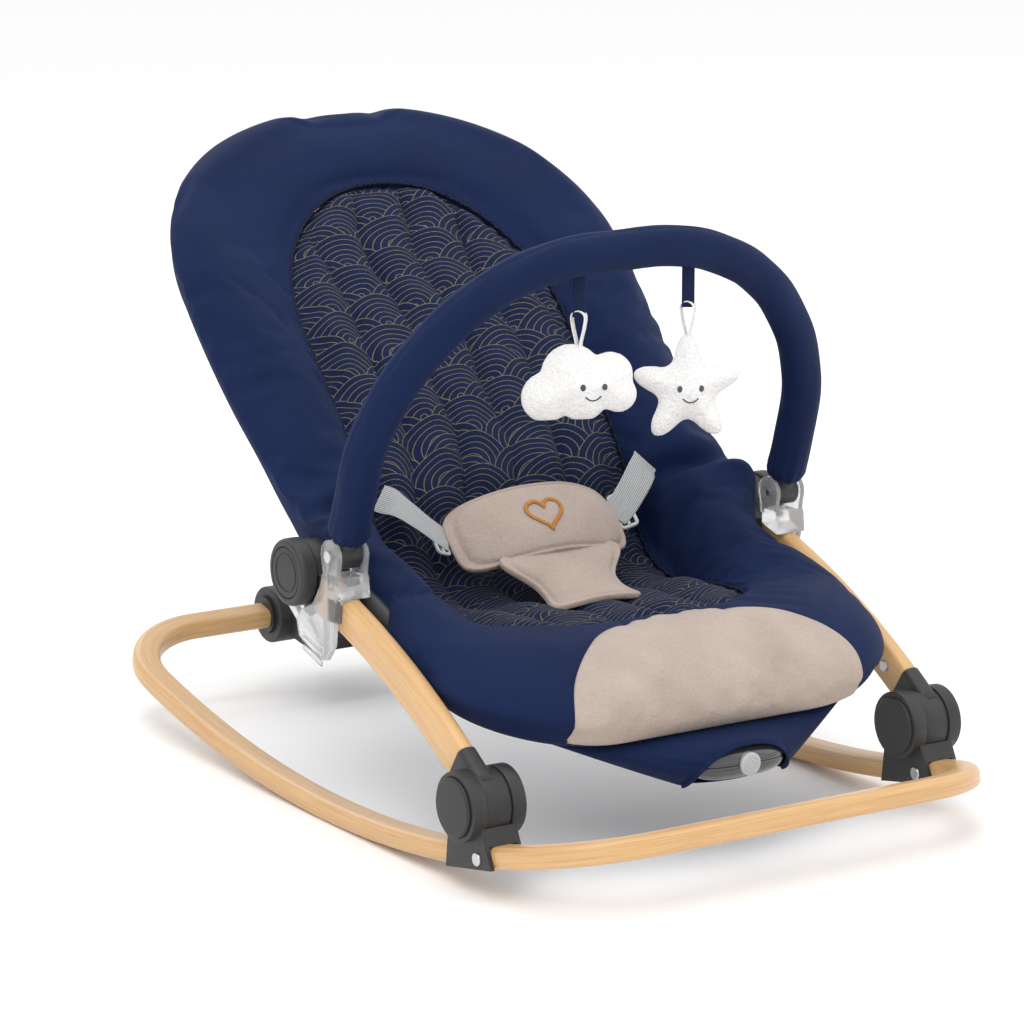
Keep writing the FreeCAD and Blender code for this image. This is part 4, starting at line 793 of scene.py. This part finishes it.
def border_rows():
    """The border's closed section at each place round the ring, as (ring, section, 3)."""
    out_u, out_v = OUTER[:, 0], OUTER[:, 1]
    in_u, in_v = SEAM[:, 0], SEAM[:, 1]
    level = through(LINER_HEIGHT, in_v)
    middle_v = (out_v + in_v) / 2
    crease = np.exp(-((middle_v - 0.040) / 0.011) ** 2) * (np.abs(out_u) > 0.1)
    front_lift = FRONT_LIFT * smoothstep(-out_v, 0.16, 0.26)
    over_hinge = 0.029 * np.exp(-(((out_v - 0.008) / 0.038) ** 2)) * (np.abs(out_u) > 0.1)
    # share of the way out from the seam, height, and how much the height follows the seam's own
    section = [(0.00, -0.001, 1.0), (0.05, 0.0075, 0.97), (0.17, 0.0165, 0.72), (0.38, 0.0235, 0.22),
               (0.60, 0.0245, 0.0), (0.80, 0.0195, 0.0), (0.94, 0.0100, 0.0), (1.00, -0.0010, 0.0),
               (0.965, -0.0120, 0.0), (0.85, -0.0175, 0.0), (0.55, -0.0190, 0.15), (0.22, -0.0180, 0.55),
               (0.03, -0.0115, 1.0)]
    rows = []
    for share, height, follow in section:
        u = in_u + (out_u - in_u) * share
        v = in_v + (out_v - in_v) * share
        n = height + level * follow
        n = n + front_lift * (1.0 if height > 0.005 else 0.8 if height > -0.005 else 0.35)
        if 0.1 < share < 1.01 and height > -0.005:
            n = n - crease * 0.016 * math.sin(math.pi * min(share, 0.85))
            n = n + over_hinge * max(0.0, share - 0.6) / 0.4
        rows.append(cover_point(u, v, n))
    controls = np.stack(rows, 1)
    return np.stack([spline(ring, 44, closed=True) for ring in controls])


def inflate(thing, pressure, cap, pins, slack, frames=18):
    """Fills a fabric piece by cloth simulation. pins are the points that stay, and no point
    moves further than cap."""
    rest = np.array([v.co[:] for v in thing.data.vertices])
    cloth = modify(thing, "CLOTH")
    cloth.settings.quality = 6
    cloth.settings.use_pressure = True
    cloth.settings.uniform_pressure_force = pressure
    cloth.settings.effector_weights.gravity = 0
    cloth.settings.tension_stiffness = 12
    cloth.settings.compression_stiffness = 12
    cloth.settings.bending_stiffness = 0.35
    cloth.settings.shrink_min = -slack
    cloth.settings.mass = 0.3
    cloth.point_cache.frame_end = frames
    group = thing.vertex_groups.new(name="pins")
    for index in np.flatnonzero(pins):
        group.add([int(index)], 1.0, "REPLACE")
    cloth.settings.vertex_group_mass = "pins"
    scene = bpy.context.scene
    for step in range(1, frames + 1):
        scene.frame_set(step)
    graph = bpy.context.evaluated_depsgraph_get()
    moved = np.array([v.co[:] for v in thing.evaluated_get(graph).data.vertices])
    thing.modifiers.clear()
    scene.frame_set(1)
    shift = moved - rest
    far = np.linalg.norm(shift, axis=1)
    shift *= (np.minimum(far, cap) / np.maximum(far, 1e-9))[:, None]
    thing.data.vertices.foreach_set("co", (rest + shift).ravel())
    thing.data.update()


def ring_lengths(points):
    """The distance round a closed line of points, from its first."""
    return lengths(np.vstack([points, points[:1]]))[:-1]


def cover_border():
    """The padded border: one closed ring round the seat and the backrest."""
    rows = border_rows()
    ring, around = rows.shape[:2]
    top = 8
    uv = pairs(ring_lengths(rows[:, top]), lengths(rows[0]))
    border = grid("cover_border", rows, True, True, uv)
    index = np.arange(ring * around) % around
    seam_end, underside = 1, 24
    pins = (index <= seam_end) | (index >= underside)
    inflate(border, 2.2, 0.007, pins, 0.035)
    modify(border, "SUBSURF", levels=1, render_levels=1)
    settle(border)
    dress(border, "navy", "border_fabric", "seat_border", "back_border")
    return border


def liner_half(v):
    """Half width of the liner at v, from its seam's outline."""
    half = SEAM[: sum(RING_STEPS) + 1]
    order = np.argsort(half[:, 1], kind="stable")
    return np.interp(v, half[order, 1], half[order, 0])


def liner():
    """The printed panel inside the border: quilted channels above, plain cotton below."""
    columns = 97
    v = np.concatenate([np.linspace(SEAM_FRONT, -0.10, 22), np.linspace(-0.10, 0.20, 80)[1:],
                        np.linspace(0.20, SEAM_BACK, 50)[1:]])
    share = np.linspace(-1, 1, columns)
    half = np.maximum(liner_half(v), 0.012)
    u = half[:, None] * share[None, :]
    v_grid = np.repeat(v[:, None], columns, 1)
    edge = (1 - np.abs(share)[None, :]) * half[:, None]
    edge = np.minimum(edge, np.minimum(v_grid - SEAM_FRONT, SEAM_BACK - v_grid) * 1.3)
    wander = 0.004 * np.sin(v_grid * 23 + 1.3) + 0.003 * np.sin(v_grid * 51 + u * 20)
    channel = np.abs(np.cos(math.pi * (u + wander + 0.004) / 0.046)) ** 0.45
    depth = 0.0160 * (0.80 + 0.20 * np.sin(v_grid * 37 + u * 60)) * smoothstep(edge, 0.0, 0.03)
    puff = 0.010 * smoothstep(edge, 0.0, 0.022) ** 0.7
    gather = 0.0014 * np.sin(v_grid * 420 + np.sin(u * 90) * 2) * (1 - smoothstep(edge, 0.004, 0.024))
    crumple = (0.0016 * np.sin(u * 130 + v_grid * 55) * np.sin(v_grid * 95 - u * 40)
               * smoothstep(edge, 0, 0.02))
    bowl = -0.004 * (1 - (u / 0.13) ** 2)
    n = through(LINER_HEIGHT, v_grid) + puff + depth * (channel - 0.75) + gather + crumple + bowl - 0.002
    top = cover_point(u, v_grid, n)
    under_n = through(LINER_HEIGHT, v_grid) * 0.9 - 0.012 - 0.004 * smoothstep(edge, 0.0, 0.04)
    under = cover_point(u, v_grid, under_n)
    rows = np.concatenate([top, under[:, ::-1]], 1)
    path = lengths(cover_point(np.zeros(len(v)), v, through(LINER_HEIGHT, v)))
    uv_top = np.stack([u, np.repeat(path[:, None], columns, 1)], -1)
    uv = np.concatenate([uv_top, uv_top[:, ::-1]], 1)
    panel = grid("seat_liner_quilted", rows, False, True, uv, caps=True)
    panel.data.materials.append(M["print"])
    panel.data.materials.append(M["navy"])
    count = rows.shape[1]
    for face in panel.data.polygons:
        face.material_index = 0 if all(i % count < columns for i in face.vertices) else 1
    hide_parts("seat_liner", "back_liner")
    return panel


def seam_cord():
    """The overlocked seam between liner and border, with its stitches."""
    level = through(LINER_HEIGHT, SEAM[:, 1])
    path = cover_point(SEAM[:, 0], SEAM[:, 1], level + 0.0005)
    path = spline(path, 1500, closed=True)
    along = ring_lengths(path)
    up = np.repeat(np.array([[0.0, -0.3, 1.0]]), len(path), 0)
    twist = 0.0016 * np.sin(along * 2 * math.pi / 0.0045)[:, None] * up
    wobble = 0.0006 * np.sin(along * 2 * math.pi / 0.011)[:, None] * np.array([[1.0, 0.4, 0]])
    seam = sweep("liner_overlock", path + 0.35 * twist + wobble, up, ring_of(0.00125, 6), closed=True)
    dress(seam, "thread", "border_fabric")
    return seam


def cross_recline(*pieces):
    """Bakes each piece's transform into its mesh, for the fabric that crosses the recline hinge bends between
    the seat and the backrest.
    """
    start = cover_line(np.array(-0.045))[0]
    end = cover_line(np.array(0.060))[0]
    for piece in pieces:
        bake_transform(piece)


# ---------------------------------------------------------------- front patch and unit pocket

COTTON_THICK, VELOUR_THICK = 0.0010, 0.0012


def tree_of(thing):
    """The finished surface of a piece, to cast rays at."""
    return BVHTree.FromObject(thing, bpy.context.evaluated_depsgraph_get())


def front_roll(surface, x, angle, lift):
    """A point on the border's front roll: out from inside the roll at x, at an angle up from
    straight ahead. lift is how far it stands off the border."""
    start = Vector(cover_point(np.array(x), np.array(-0.232), np.array(0.001 + 0.8 * FRONT_LIFT)))
    ahead = Vector((0, -math.cos(SEAT_TILT), -math.sin(SEAT_TILT)))
    square = Vector((0, -math.sin(SEAT_TILT), math.cos(SEAT_TILT)))
    way = ahead * math.cos(angle) + square * math.sin(angle)
    hit = surface.ray_cast(start, way)[0]
    return np.array(hit + way * lift)


def front_patch(border):
    """The velour half oval that is sewn over the front of the seat."""
    surface = tree_of(border)
    half, low, high = 0.134, math.radians(-26), math.radians(150)
    across = np.sin(np.linspace(-math.pi / 2, math.pi / 2, 91)) * half
    share = np.linspace(0, 1, 45)
    points = np.zeros((len(share), len(across), 3))
    for j, x in enumerate(across):
        arch = max(1 - abs(x / half) ** 2.5, 0) ** (1 / 2.5)
        top = low + 0.10 + (high - low - 0.10) * arch
        for i, t in enumerate(share):
            edge = min(t, 1 - t, (1 - abs(x) / half) * 1.6)
            lift = 0.0004 + 0.0017 * float(smoothstep(edge, 0.0, 0.05))
            points[i, j] = front_roll(surface, x, low + (top - low) * t, lift)
    patch = grid("front_patch_velour", points)
    modify(patch, "SOLIDIFY", thickness=VELOUR_THICK, offset=-1)
    settle(patch)
    place_on(patch, "velour", "seat_frame", "velour", "front_patch")


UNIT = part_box("vibration_case_lower")[0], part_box("vibration_case_upper")[1]
UNIT_MIDDLE = (np.array(UNIT[0]) + np.array(UNIT[1])) / 2
UNIT_HALF = (np.array(UNIT[1]) - np.array(UNIT[0])) / 2


def pouch_edge(turn):
    """Where the pouch ends, at an angle round the unit from +X: an arched hem across the front,
    and the unit's underside elsewhere."""
    x, y = math.cos(turn), math.sin(turn)
    half = UNIT_HALF + 0.0022
    place = np.array([math.copysign(abs(x) ** 0.6, x) * half[0],
                      math.copysign(abs(y) ** 0.6, y) * half[1], 0.0])
    front = (1 - min(abs(x) ** 0.6, 1.0) ** 2.4) ** 0.62 if y < 0 else 0.0
    place[2] = -half[2] + front * (2 * half[2] + 0.0005)
    place[1] += 0.0030 * front
    return UNIT_MIDDLE + place


def unit_pouch(border):
    """The cover's front apron: it narrows from the seat's front edge to the vibration unit."""
    surface = tree_of(border)
    turns = full_turn(120)
    share = np.linspace(0, 1, 26)
    points = np.zeros((len(share), len(turns), 3))
    for j, turn in enumerate(turns):
        x = math.copysign(abs(math.cos(turn)) ** 0.75, math.cos(turn)) * 0.150
        depth = (1 - math.sin(turn)) / 2
        angle = math.radians(-112 + 84 * depth)
        top = front_roll(surface, x, angle, -0.0015)
        low = pouch_edge(turn)
        middle = (top + low) / 2 + np.array([math.cos(turn) * -0.004, -0.004 * depth, -0.003])
        curve = (np.outer((1 - share) ** 2, top) + np.outer(2 * share * (1 - share), middle)
                 + np.outer(share**2, low))
        folds = 0.0016 * np.sin(turn * 17 + 2 * np.sin(turn * 5)) * share**2 * (1 - 0.6 * share)
        outward = np.array([math.cos(turn), math.sin(turn), 0])
        points[:, j] = curve + folds[:, None] * outward
    pouch = grid("unit_pouch", points, wrap_columns=True, uv=pairs(share * 0.06, turns * 0.08))
    modify(pouch, "SOLIDIFY", thickness=COTTON_THICK, offset=1)
    settle(pouch)
    place_on(pouch, "navy", "seat_frame", "border_fabric", "unit_pocket")

    wide = np.linspace(-1, 1, 25)
    long = np.linspace(0, 1, 15)
    floor = np.zeros((len(long), len(wide), 3))
    for i, t in enumerate(long):
        for j, w in enumerate(wide):
            inset = 1 - 0.30 * abs(2 * t - 1) ** 4
            y = UNIT_HALF[1] * (1.02 - 1.40 * t) + 0.006 * w * w * (t > 0.5)
            floor[i, j] = UNIT_MIDDLE + np.array([w * UNIT_HALF[0] * inset, y, -UNIT_HALF[2] - 0.0016])
    under = grid("unit_pouch_floor", floor, uv=pairs(long * 0.05, wide * 0.045))
    modify(under, "SOLIDIFY", thickness=COTTON_THICK, offset=0)
    settle(under)
    place_on(under, "navy", "seat_frame", "border_fabric")

    front = np.linspace(math.radians(184), math.radians(356), 90)
    hem_path = np.array([pouch_edge(turn) for turn in front])
    outward = np.stack([np.cos(front), np.sin(front), 0.35 + 0 * front], -1)
    hem = sweep("unit_pouch_hem", hem_path, outward, rounded_section(0.0045, 0.0020, 0.0009, 3))
    place_on(hem, "navy", "seat_frame", "border_fabric")


def vibration_unit():
    """The unit's rounded case in two shells with a parting line, and its button."""
    for name, sign in (("lower", -1), ("upper", 1)):
        rows, columns = 26, 96
        rise = np.linspace(0, math.pi / 2, rows)
        turn = full_turn(columns)
        flat = np.cos(rise) ** 0.55
        tall = np.sin(rise) ** 0.85
        ring = np.stack([np.sign(np.cos(turn)) * np.abs(np.cos(turn)) ** 0.62,
                         np.sign(np.sin(turn)) * np.abs(np.sin(turn)) ** 0.72], -1)
        points = np.zeros((rows, columns, 3))
        points[..., :2] = ring[None] * flat[:, None, None] * UNIT_HALF[:2]
        points[..., 2] = sign * (0.0002 + tall[:, None] * (UNIT_HALF[2] - 0.0002))
        points[0, :, :2] *= 0.985
        points[1, :, 2] = sign * 0.0004
        case = grid("vibration_case_%s_shell" % name, UNIT_MIDDLE + points, wrap_columns=True, caps=True)
        place_on(case, "graphite", "seat_frame", "unit_plastic", "vibration_case_%s" % name)
    softened("vibration_button", "silver", "power_button", "grey_plastic", 0.0006)
    face = np.array(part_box("vibration_button")[0])
    centre = np.array([0.0, face[1], UNIT_MIDDLE[2]])
    turn = full_turn(48)
    for count, radius in enumerate((0.0030, 0.0062)):
        circle = centre + radius * np.stack([np.cos(turn), 0 * turn, np.sin(turn)], -1)
        ridge = sweep("button_ring_%d" % count, circle, np.repeat([[0.0, -1.0, 0.0]], 48, 0),
                      ring_of(0.0005, 6), closed=True)
        place_on(ridge, "silver", "power_button", "grey_plastic")


# ---------------------------------------------------------------- harness

def back_point(x, s, n):
    """A point by the backrest's own plane: x across, s up along it and n square to it."""
    x, s, n = np.broadcast_arrays(np.asarray(x, float), np.asarray(s, float), np.asarray(n, float))
    return np.stack([x, RECLINE[1] + s * math.cos(BACK_TILT) - n * math.sin(BACK_TILT),
                     RECLINE[2] + s * math.sin(BACK_TILT) + n * math.cos(BACK_TILT)], -1)


def pillow(name, node, half_a, half_b, thick, power, place):
    """A padded piece with a double edge: place(a, b, height) puts its flat coordinates, a across
    and b along, and the height over its middle surface into the row frame."""
    rings, around = 26, 132
    turn = full_turn(around)
    c, s = np.cos(turn), np.sin(turn)
    reach = (np.abs(c) ** power + np.abs(s) ** power) ** (-1 / power)
    share = np.concatenate([np.sin(np.linspace(0, math.pi / 2, rings)),
                            np.sin(np.linspace(math.pi / 2, 0, rings))[1:]])
    side = np.concatenate([np.ones(rings), -np.ones(rings - 1)])
    a = half_a * share[:, None] * (c * reach)[None]
    b = half_b * share[:, None] * (s * reach)[None]
    edge = 1 - share ** 7
    lip = 0.34 * np.exp(-(((share - 0.985) / 0.03) ** 2)) - 0.30 * np.exp(-(((share - 0.90) / 0.022) ** 2))
    height = side * thick / 2 * np.sqrt(np.clip(edge, 0, 1)) + np.where(side > 0, lip, 0) * thick / 2
    soft = 1 + 0.05 * np.sin(a * 130 + 1) * np.sin(b * 150)
    points = place(a, b, height[:, None] * soft)
    thing = grid(name, points, wrap_columns=True)
    modify(thing, "SUBSURF", levels=1, render_levels=1)
    settle(thing)
    return dress(thing, "velour", "velour", node)


PAD_S = 0.002
WAIST_RADIUS = 0.125


def waist_pad():
    """The curved waist pad with a small sewn heart."""
    def place(a, b, height):
        turn = a / WAIST_RADIUS
        droop = 0.004 * (b / 0.031) ** 2
        radius = WAIST_RADIUS + height - droop
        return back_point(radius * np.sin(turn), PAD_S + b, radius * np.cos(turn) - 0.100)

    pad = pillow("waist_pad_velour", "waist_pad", 0.0855, 0.0325, 0.0125, 5.0, place)
    t = full_turn(90)
    size = 0.00095
    a = -0.004 + size * 16 * np.sin(t) ** 3
    b = size * (13 * np.cos(t) - 5 * np.cos(2 * t) - 2 * np.cos(3 * t) - np.cos(4 * t))
    path = place(a, b, np.full(90, 0.0070))
    up = place(a, b, np.full(90, 0.0170)) - path
    heart = sweep("waist_pad_heart", path, up, ring_of(0.0013, 8) * np.array([1.25, 0.7]), closed=True)
    dress(heart, "gold_thread", "velour")
    return [pad, heart]


def crotch_pad():
    """The pad between the legs: it leaves the waist pad, flares and lies on the seat."""
    spine = spline(np.array([(0, -0.0260, 0.1900), (0, -0.0420, 0.1850), (0, -0.0600, 0.1765),
                             (0, -0.0800, 0.1685), (0, -0.1010, 0.1645)]), 60)
    run = lengths(spine)
    total = run[-1]
    ahead = unit(np.gradient(spine, axis=0))
    square = np.cross(ahead, np.array([1.0, 0, 0]))
    square *= np.sign(square[:, 2:3])

    def place(a, b, height):
        along = (b / 0.5 + 1) / 2 * total
        spot = np.stack([np.interp(along, run, spine[:, i]) for i in range(3)], -1)
        normal = np.stack([np.interp(along, run, square[:, i]) for i in range(3)], -1)
        flare = (1.50 - 0.62 * smoothstep(along / total, 0.05, 0.55)
                 + 0.24 * smoothstep(along / total, 0.62, 1.0))
        curl = 0.006 * (a / 0.036) ** 2 * smoothstep(along / total, 0.0, 0.6)
        point = spot + normal * (height - curl + 0.001)[..., None]
        point[..., 0] += a * flare
        return point

    pad = pillow("crotch_pad_velour", "crotch_pad", 0.0420, 0.5, 0.0095, 4.2, place)
    return [pad]


def harness_straps():
    """Ribbed webbing from the ladder adjusters to slots in the seam, on both sides."""
    pieces = []
    for side, name in SIDES:
        guide = np.array([(0.0790, PAD_S + 0.006, -0.0015), (0.0900, PAD_S + 0.013, 0.0030),
                          (0.1050, PAD_S + 0.026, 0.0085), (0.1180, PAD_S + 0.039, 0.0105),
                          (0.1275, PAD_S + 0.049, 0.0070)])
        flat = spline(guide, 60)
        path = back_point(side * flat[:, 0], flat[:, 1], flat[:, 2])
        ahead = np.gradient(flat, axis=0)
        square = np.stack([-ahead[:, 2], np.zeros(60), ahead[:, 0]], -1)
        up = back_point(side * (flat[:, 0] + square[:, 0]), flat[:, 1], flat[:, 2] + square[:, 2]) - path
        strap = sweep("harness_strap_%s_webbing" % name, path, up, rounded_section(0.0245, 0.0014, 0.0006, 2))
        dress(strap, "webbing", "webbing", "harness_strap_%s" % name)
        pieces.append(strap)
    return pieces


def adjusters():
    """Ladder adjusters: a flat frame with a middle bar, at both ends of the waist pad."""
    pieces = []
    half_long, half_wide = 0.0158, 0.0068
    slope = math.radians(25)
    outline = rounded_section(2 * half_wide, 2 * half_long, 0.0025, 5)
    bar = np.array([(0.0, y) for y in np.linspace(-half_long, half_long, 9)])
    for side, name in SIDES:
        def put(flat, lift=0.0):
            """A flat outline at its place on the strap, lifted square to it."""
            x = 0.0888 + flat[:, 0] * math.cos(slope) - lift * math.sin(slope)
            n = 0.0008 + flat[:, 0] * math.sin(slope) + lift * math.cos(slope)
            return back_point(side * x, PAD_S + 0.009 + flat[:, 1] * 0.98, n)

        for part, flat, closed in (("frame", outline, True), ("bar", bar, False)):
            path = put(flat)
            piece = sweep("strap_adjuster_%s_%s" % (name, part), path, put(flat, 0.01) - path,
                          rounded_section(0.0030, 0.0026, 0.0009, 3), closed=closed)
            dress(piece, "silver", "grey_plastic")
            pieces.append(piece)
    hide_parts("strap_adjusters")
    return pieces


# ---------------------------------------------------------------- toy bar and toys

BAR_HALF, BAR_REACH, BAR_BEND, BAR_COVER = 0.2068, 0.239, 0.180, 0.016
TOY_TURN = math.radians(-25)


def bar_point(x, s, n=0.0):
    """A point by the toy bar's plane: x across, s away from its pivot and n square to it."""
    x, s, n = np.broadcast_arrays(np.asarray(x, float), np.asarray(s, float), np.asarray(n, float))
    return np.stack([x, BAR[1] + s * math.cos(BAR_TILT) - n * math.sin(BAR_TILT),
                     BAR[2] + s * math.sin(BAR_TILT) + n * math.cos(BAR_TILT)], -1)


def bar_line():
    """The bar's centreline from the left pivot over to the right one."""
    arm = np.linspace(0.0125, BAR_REACH - BAR_BEND, 16)
    turn = np.linspace(0, math.pi / 2, 60)[1:]
    x = np.concatenate([np.full(16, BAR_HALF), BAR_HALF - BAR_BEND * (1 - np.cos(turn)), [0.013, 0.0]])
    s = np.concatenate([arm, BAR_REACH - BAR_BEND + BAR_BEND * np.sin(turn), [BAR_REACH, BAR_REACH]])
    return np.concatenate([x, -x[-2::-1]]), np.concatenate([s, s[-2::-1]])


def toy_bar():
    """The padded sleeve of the toy bar, gathered at both ends, with its seam underneath."""
    x, s = bar_line()
    path = bar_point(x, s)
    square = bar_point(0, 0, 1) - bar_point(0, 0, 0)
    inward = unit(np.cross(unit(np.gradient(path, axis=0)), square))
    along = lengths(path)
    end = np.minimum(along, along[-1] - along)
    turn = full_turn(40)
    radius = BAR_COVER * (0.70 + 0.30 * np.sqrt(np.clip(end / 0.009, 0, 1)))[:, None] * np.ones(40)
    pucker = np.exp(-end / 0.02)[:, None] * 0.0010 * np.sin(turn * 11)[None]
    waves = (0.0005 * np.sin(along[:, None] * 75 + 2.0 * np.sin(turn * 2)[None])
             * np.sin(along[:, None] * 31 + turn[None]))
    seam = 0.0010 * np.exp(-((turn - math.pi) / 0.10) ** 2)[None]
    radius = radius + pucker + waves - seam
    points = (path[:, None] + radius[..., None] * (np.cos(turn)[None, :, None] * -inward[:, None]
                                                   + np.sin(turn)[None, :, None] * square))
    cover = grid("toy_bar_sleeve", points, wrap_columns=True, uv=pairs(along, turn * BAR_COVER), caps=True)
    place_on(cover, "navy", "toy_bar", "border_fabric", "toy_bar_cover")


def toy_frame(x, drop):
    """A toy's middle point and its own across, up and towards-the-viewer directions."""
    s = BAR_REACH - BAR_BEND + math.sqrt(BAR_BEND**2 - max(0.0, abs(x) - (BAR_HALF - BAR_BEND)) ** 2)
    hang = bar_point(x, s) - np.array([0, 0, BAR_COVER])
    across = np.array([math.cos(TOY_TURN), math.sin(TOY_TURN), 0.0])
    facing = np.array([math.sin(TOY_TURN), -math.cos(TOY_TURN), 0.0])
    return hang - np.array([0, 0, drop]), across, np.array([0, 0, 1.0]), facing


def hang_straps(name, x):
    """A stitched navy strap from the toy bar, and the white ribbon loop through its end."""
    top, across, up, facing = toy_frame(x, 0.0)
    drop = np.array([(0.003, 0.0), (-0.004, 0.0004), (-0.016, 0.0009), (-0.0285, 0.0009), (-0.0312, -0.0002)])
    path = top + spline(np.column_stack([drop, np.zeros(5)]), 24)[:, 0:1] * up + 0.0008 * facing
    strap = sweep("%s_strap_tape" % name, path, np.repeat([facing], 24, 0),
                  rounded_section(0.0100, 0.0026, 0.001, 3))
    place_on(strap, "navy_tape", name, "strap_fabric", "%s_strap" % name)
    turn = math.radians(28)
    way = across * math.cos(turn) + facing * math.sin(turn)
    loop = np.array([(0.0, -0.0265), (0.0052, -0.0300), (0.0046, -0.0390), (0.0020, -0.0500),
                     (0.0012, -0.0560), (-0.0012, -0.0560), (-0.0020, -0.0500), (-0.0046, -0.0390),
                     (-0.0052, -0.0300)])
    flat = spline(np.column_stack([loop, np.zeros(9)]), 72, closed=True)
    ring = top + flat[:, :1] * way + flat[:, 1:2] * up
    out = ring - (top - np.array([0, 0, 0.040]))
    ribbon = sweep("%s_ribbon" % name, ring, out, rounded_section(0.0072, 0.0009, 0.0004, 2), closed=True)
    place_on(ribbon, "plush", name, "toy_plush")


def star_edge(turn):
    """A blunt star's outline, as a distance from its middle."""
    wave = (1 + np.cos(5 * (turn - math.pi / 2))) / 2
    return 0.0245 + 0.0205 * wave**1.45


def cloud_edge(turn):
    """A cloud's outline: the furthest of four bumps and a flat base."""
    bumps = ((-0.025, -0.010, 0.0200), (-0.006, 0.008, 0.0235), (0.024, 0.006, 0.0185),
             (0.031, -0.009, 0.0145), (0.003, -0.011, 0.0190))
    way = np.stack([np.cos(turn), np.sin(turn)], -1)
    furthest = np.zeros(len(turn))
    for x, z, radius in bumps:
        ahead = way @ np.array([x, z])
        inside = ahead**2 - (x * x + z * z - radius * radius)
        furthest = np.maximum(furthest, np.where(inside > 0, ahead + np.sqrt(np.maximum(inside, 0)), 0))
    flat = np.where(way[:, 1] < -0.05, 0.0285 / np.maximum(-way[:, 1], 0.05), 1.0)
    return np.minimum(furthest, flat)


def plush_toy(name, x, edge, drop, thick, face_at):
    """A stuffed toy from its outline, softened, with a plain sewn face: two dots and a smile."""
    middle, across, up, facing = toy_frame(x, drop)
    around = 180
    turn = full_turn(around)
    reach = edge(turn)
    rim = np.stack([np.cos(turn), np.sin(turn)], -1) * reach[:, None]
    share = np.sin(np.linspace(0.02, math.pi / 2, 24))
    flat = share[:, None, None] * rim[None]
    gap = np.linalg.norm(flat[:, :, None] - rim[None, None, ::2], axis=-1).min(-1)
    height = thick * np.sqrt(np.clip(gap / gap.max(), 0, 1)) ** 1.15
    face, back = (np.concatenate([flat, (sign * height)[..., None]], -1) for sign in (1, -1))
    rows = np.concatenate([face, back[-2::-1]], 0)
    points = middle + rows[..., :1] * across + rows[..., 1:2] * up + rows[..., 2:] * facing
    toy = grid("%s_plush" % name, points, wrap_columns=True, caps=True)
    modify(toy, "SMOOTH", factor=0.5, iterations=7)
    modify(toy, "REMESH", mode="VOXEL", voxel_size=0.0016, use_smooth_shade=True)
    modify(toy, "CORRECTIVE_SMOOTH", factor=0.5, iterations=6, use_only_smooth=True)
    settle(toy)
    place_on(toy, "plush", name, "toy_plush", "%s_toy" % name)
    surface = tree_of(toy)

    def on_face(a, b):
        """A point just off the front of the toy, a across and b up from its middle."""
        start = middle + a * across + b * up + 0.05 * facing
        hit = surface.ray_cast(Vector(start), Vector(-facing))[0]
        return np.array(hit) + 0.0002 * facing

    centre = np.array(face_at)
    for count, a in enumerate((-0.0085, 0.0085)):
        spot = on_face(centre[0] + a, centre[1] + 0.003)
        dot = bpy.data.meshes.new("%s_eye_%d" % (name, count))
        mesh = bmesh.new()
        bmesh.ops.create_uvsphere(mesh, u_segments=20, v_segments=12, radius=0.0021)
        mesh.to_mesh(dot)
        mesh.free()
        eye = bpy.data.objects.new(dot.name, dot)
        bpy.context.collection.objects.link(eye)
        grow = np.array([1.0, 1.25, 0.35])
        flat_dot = np.array([v.co[:] for v in dot.vertices]) * grow
        moved = spot + flat_dot[:, :1] * across + flat_dot[:, 1:2] * up + flat_dot[:, 2:] * facing
        dot.vertices.foreach_set("co", moved.ravel())
        dot.shade_smooth()
        place_on(eye, "grey_thread", name, "toy_plush")
    bend = np.linspace(-1, 1, 25)
    smile = np.array([on_face(centre[0] + 0.0062 * t, centre[1] - 0.0080 + 0.0034 * t * t) for t in bend])
    line = sweep("%s_smile" % name, smile, np.repeat([facing], 25, 0), ring_of(0.00055, 6))
    place_on(line, "grey_thread", name, "toy_plush")


def toys():
    """The star and the cloud: both hang on straps of their own, each a body named after the toy."""
    hung = (("star", 0.060, star_edge, 0.096, 0.0125, (0.001, -0.001)),
            ("cloud", -0.042, cloud_edge, 0.083, 0.0135, (0.010, -0.004)))
    for name, x, *rest in hung:
        hang_straps(name, x)
    for name, x, *rest in hung:
        plush_toy(name, x, *rest)


# ---------------------------------------------------------------- small trims

def disc_rings():
    """A plain ring on each recline button."""
    turn = full_turn(64)
    circle = np.stack([0 * turn, np.cos(turn), np.sin(turn)], -1)
    for side, name in SIDES:
        button = "recline_button_%s" % name
        low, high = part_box(button)
        face = high[0] if side > 0 else low[0]
        centre = np.array([face, RECLINE[1], RECLINE[2]])
        ring = sweep("recline_ring_%s" % name, centre + 0.0150 * circle,
                     np.repeat([[float(side), 0, 0]], 64, 0), ring_of(0.0006, 6), closed=True)
        place_on(ring, "button", NODES[button]["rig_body"], "button_plastic")


# ---------------------------------------------------------------- everything

studio()
base_tubes()
legs()
moulded_parts()
upper_sleeves()
recline_discs()
plain_nodes()
border = cover_border()
panel = liner()
seam = seam_cord()
front_patch(border)
unit_pouch(border)
vibration_unit()
cross_recline(border, panel, seam)
cross_recline(*waist_pad(), *crotch_pad(), *harness_straps(), *adjusters())
toy_bar()
toys()
disc_rings()
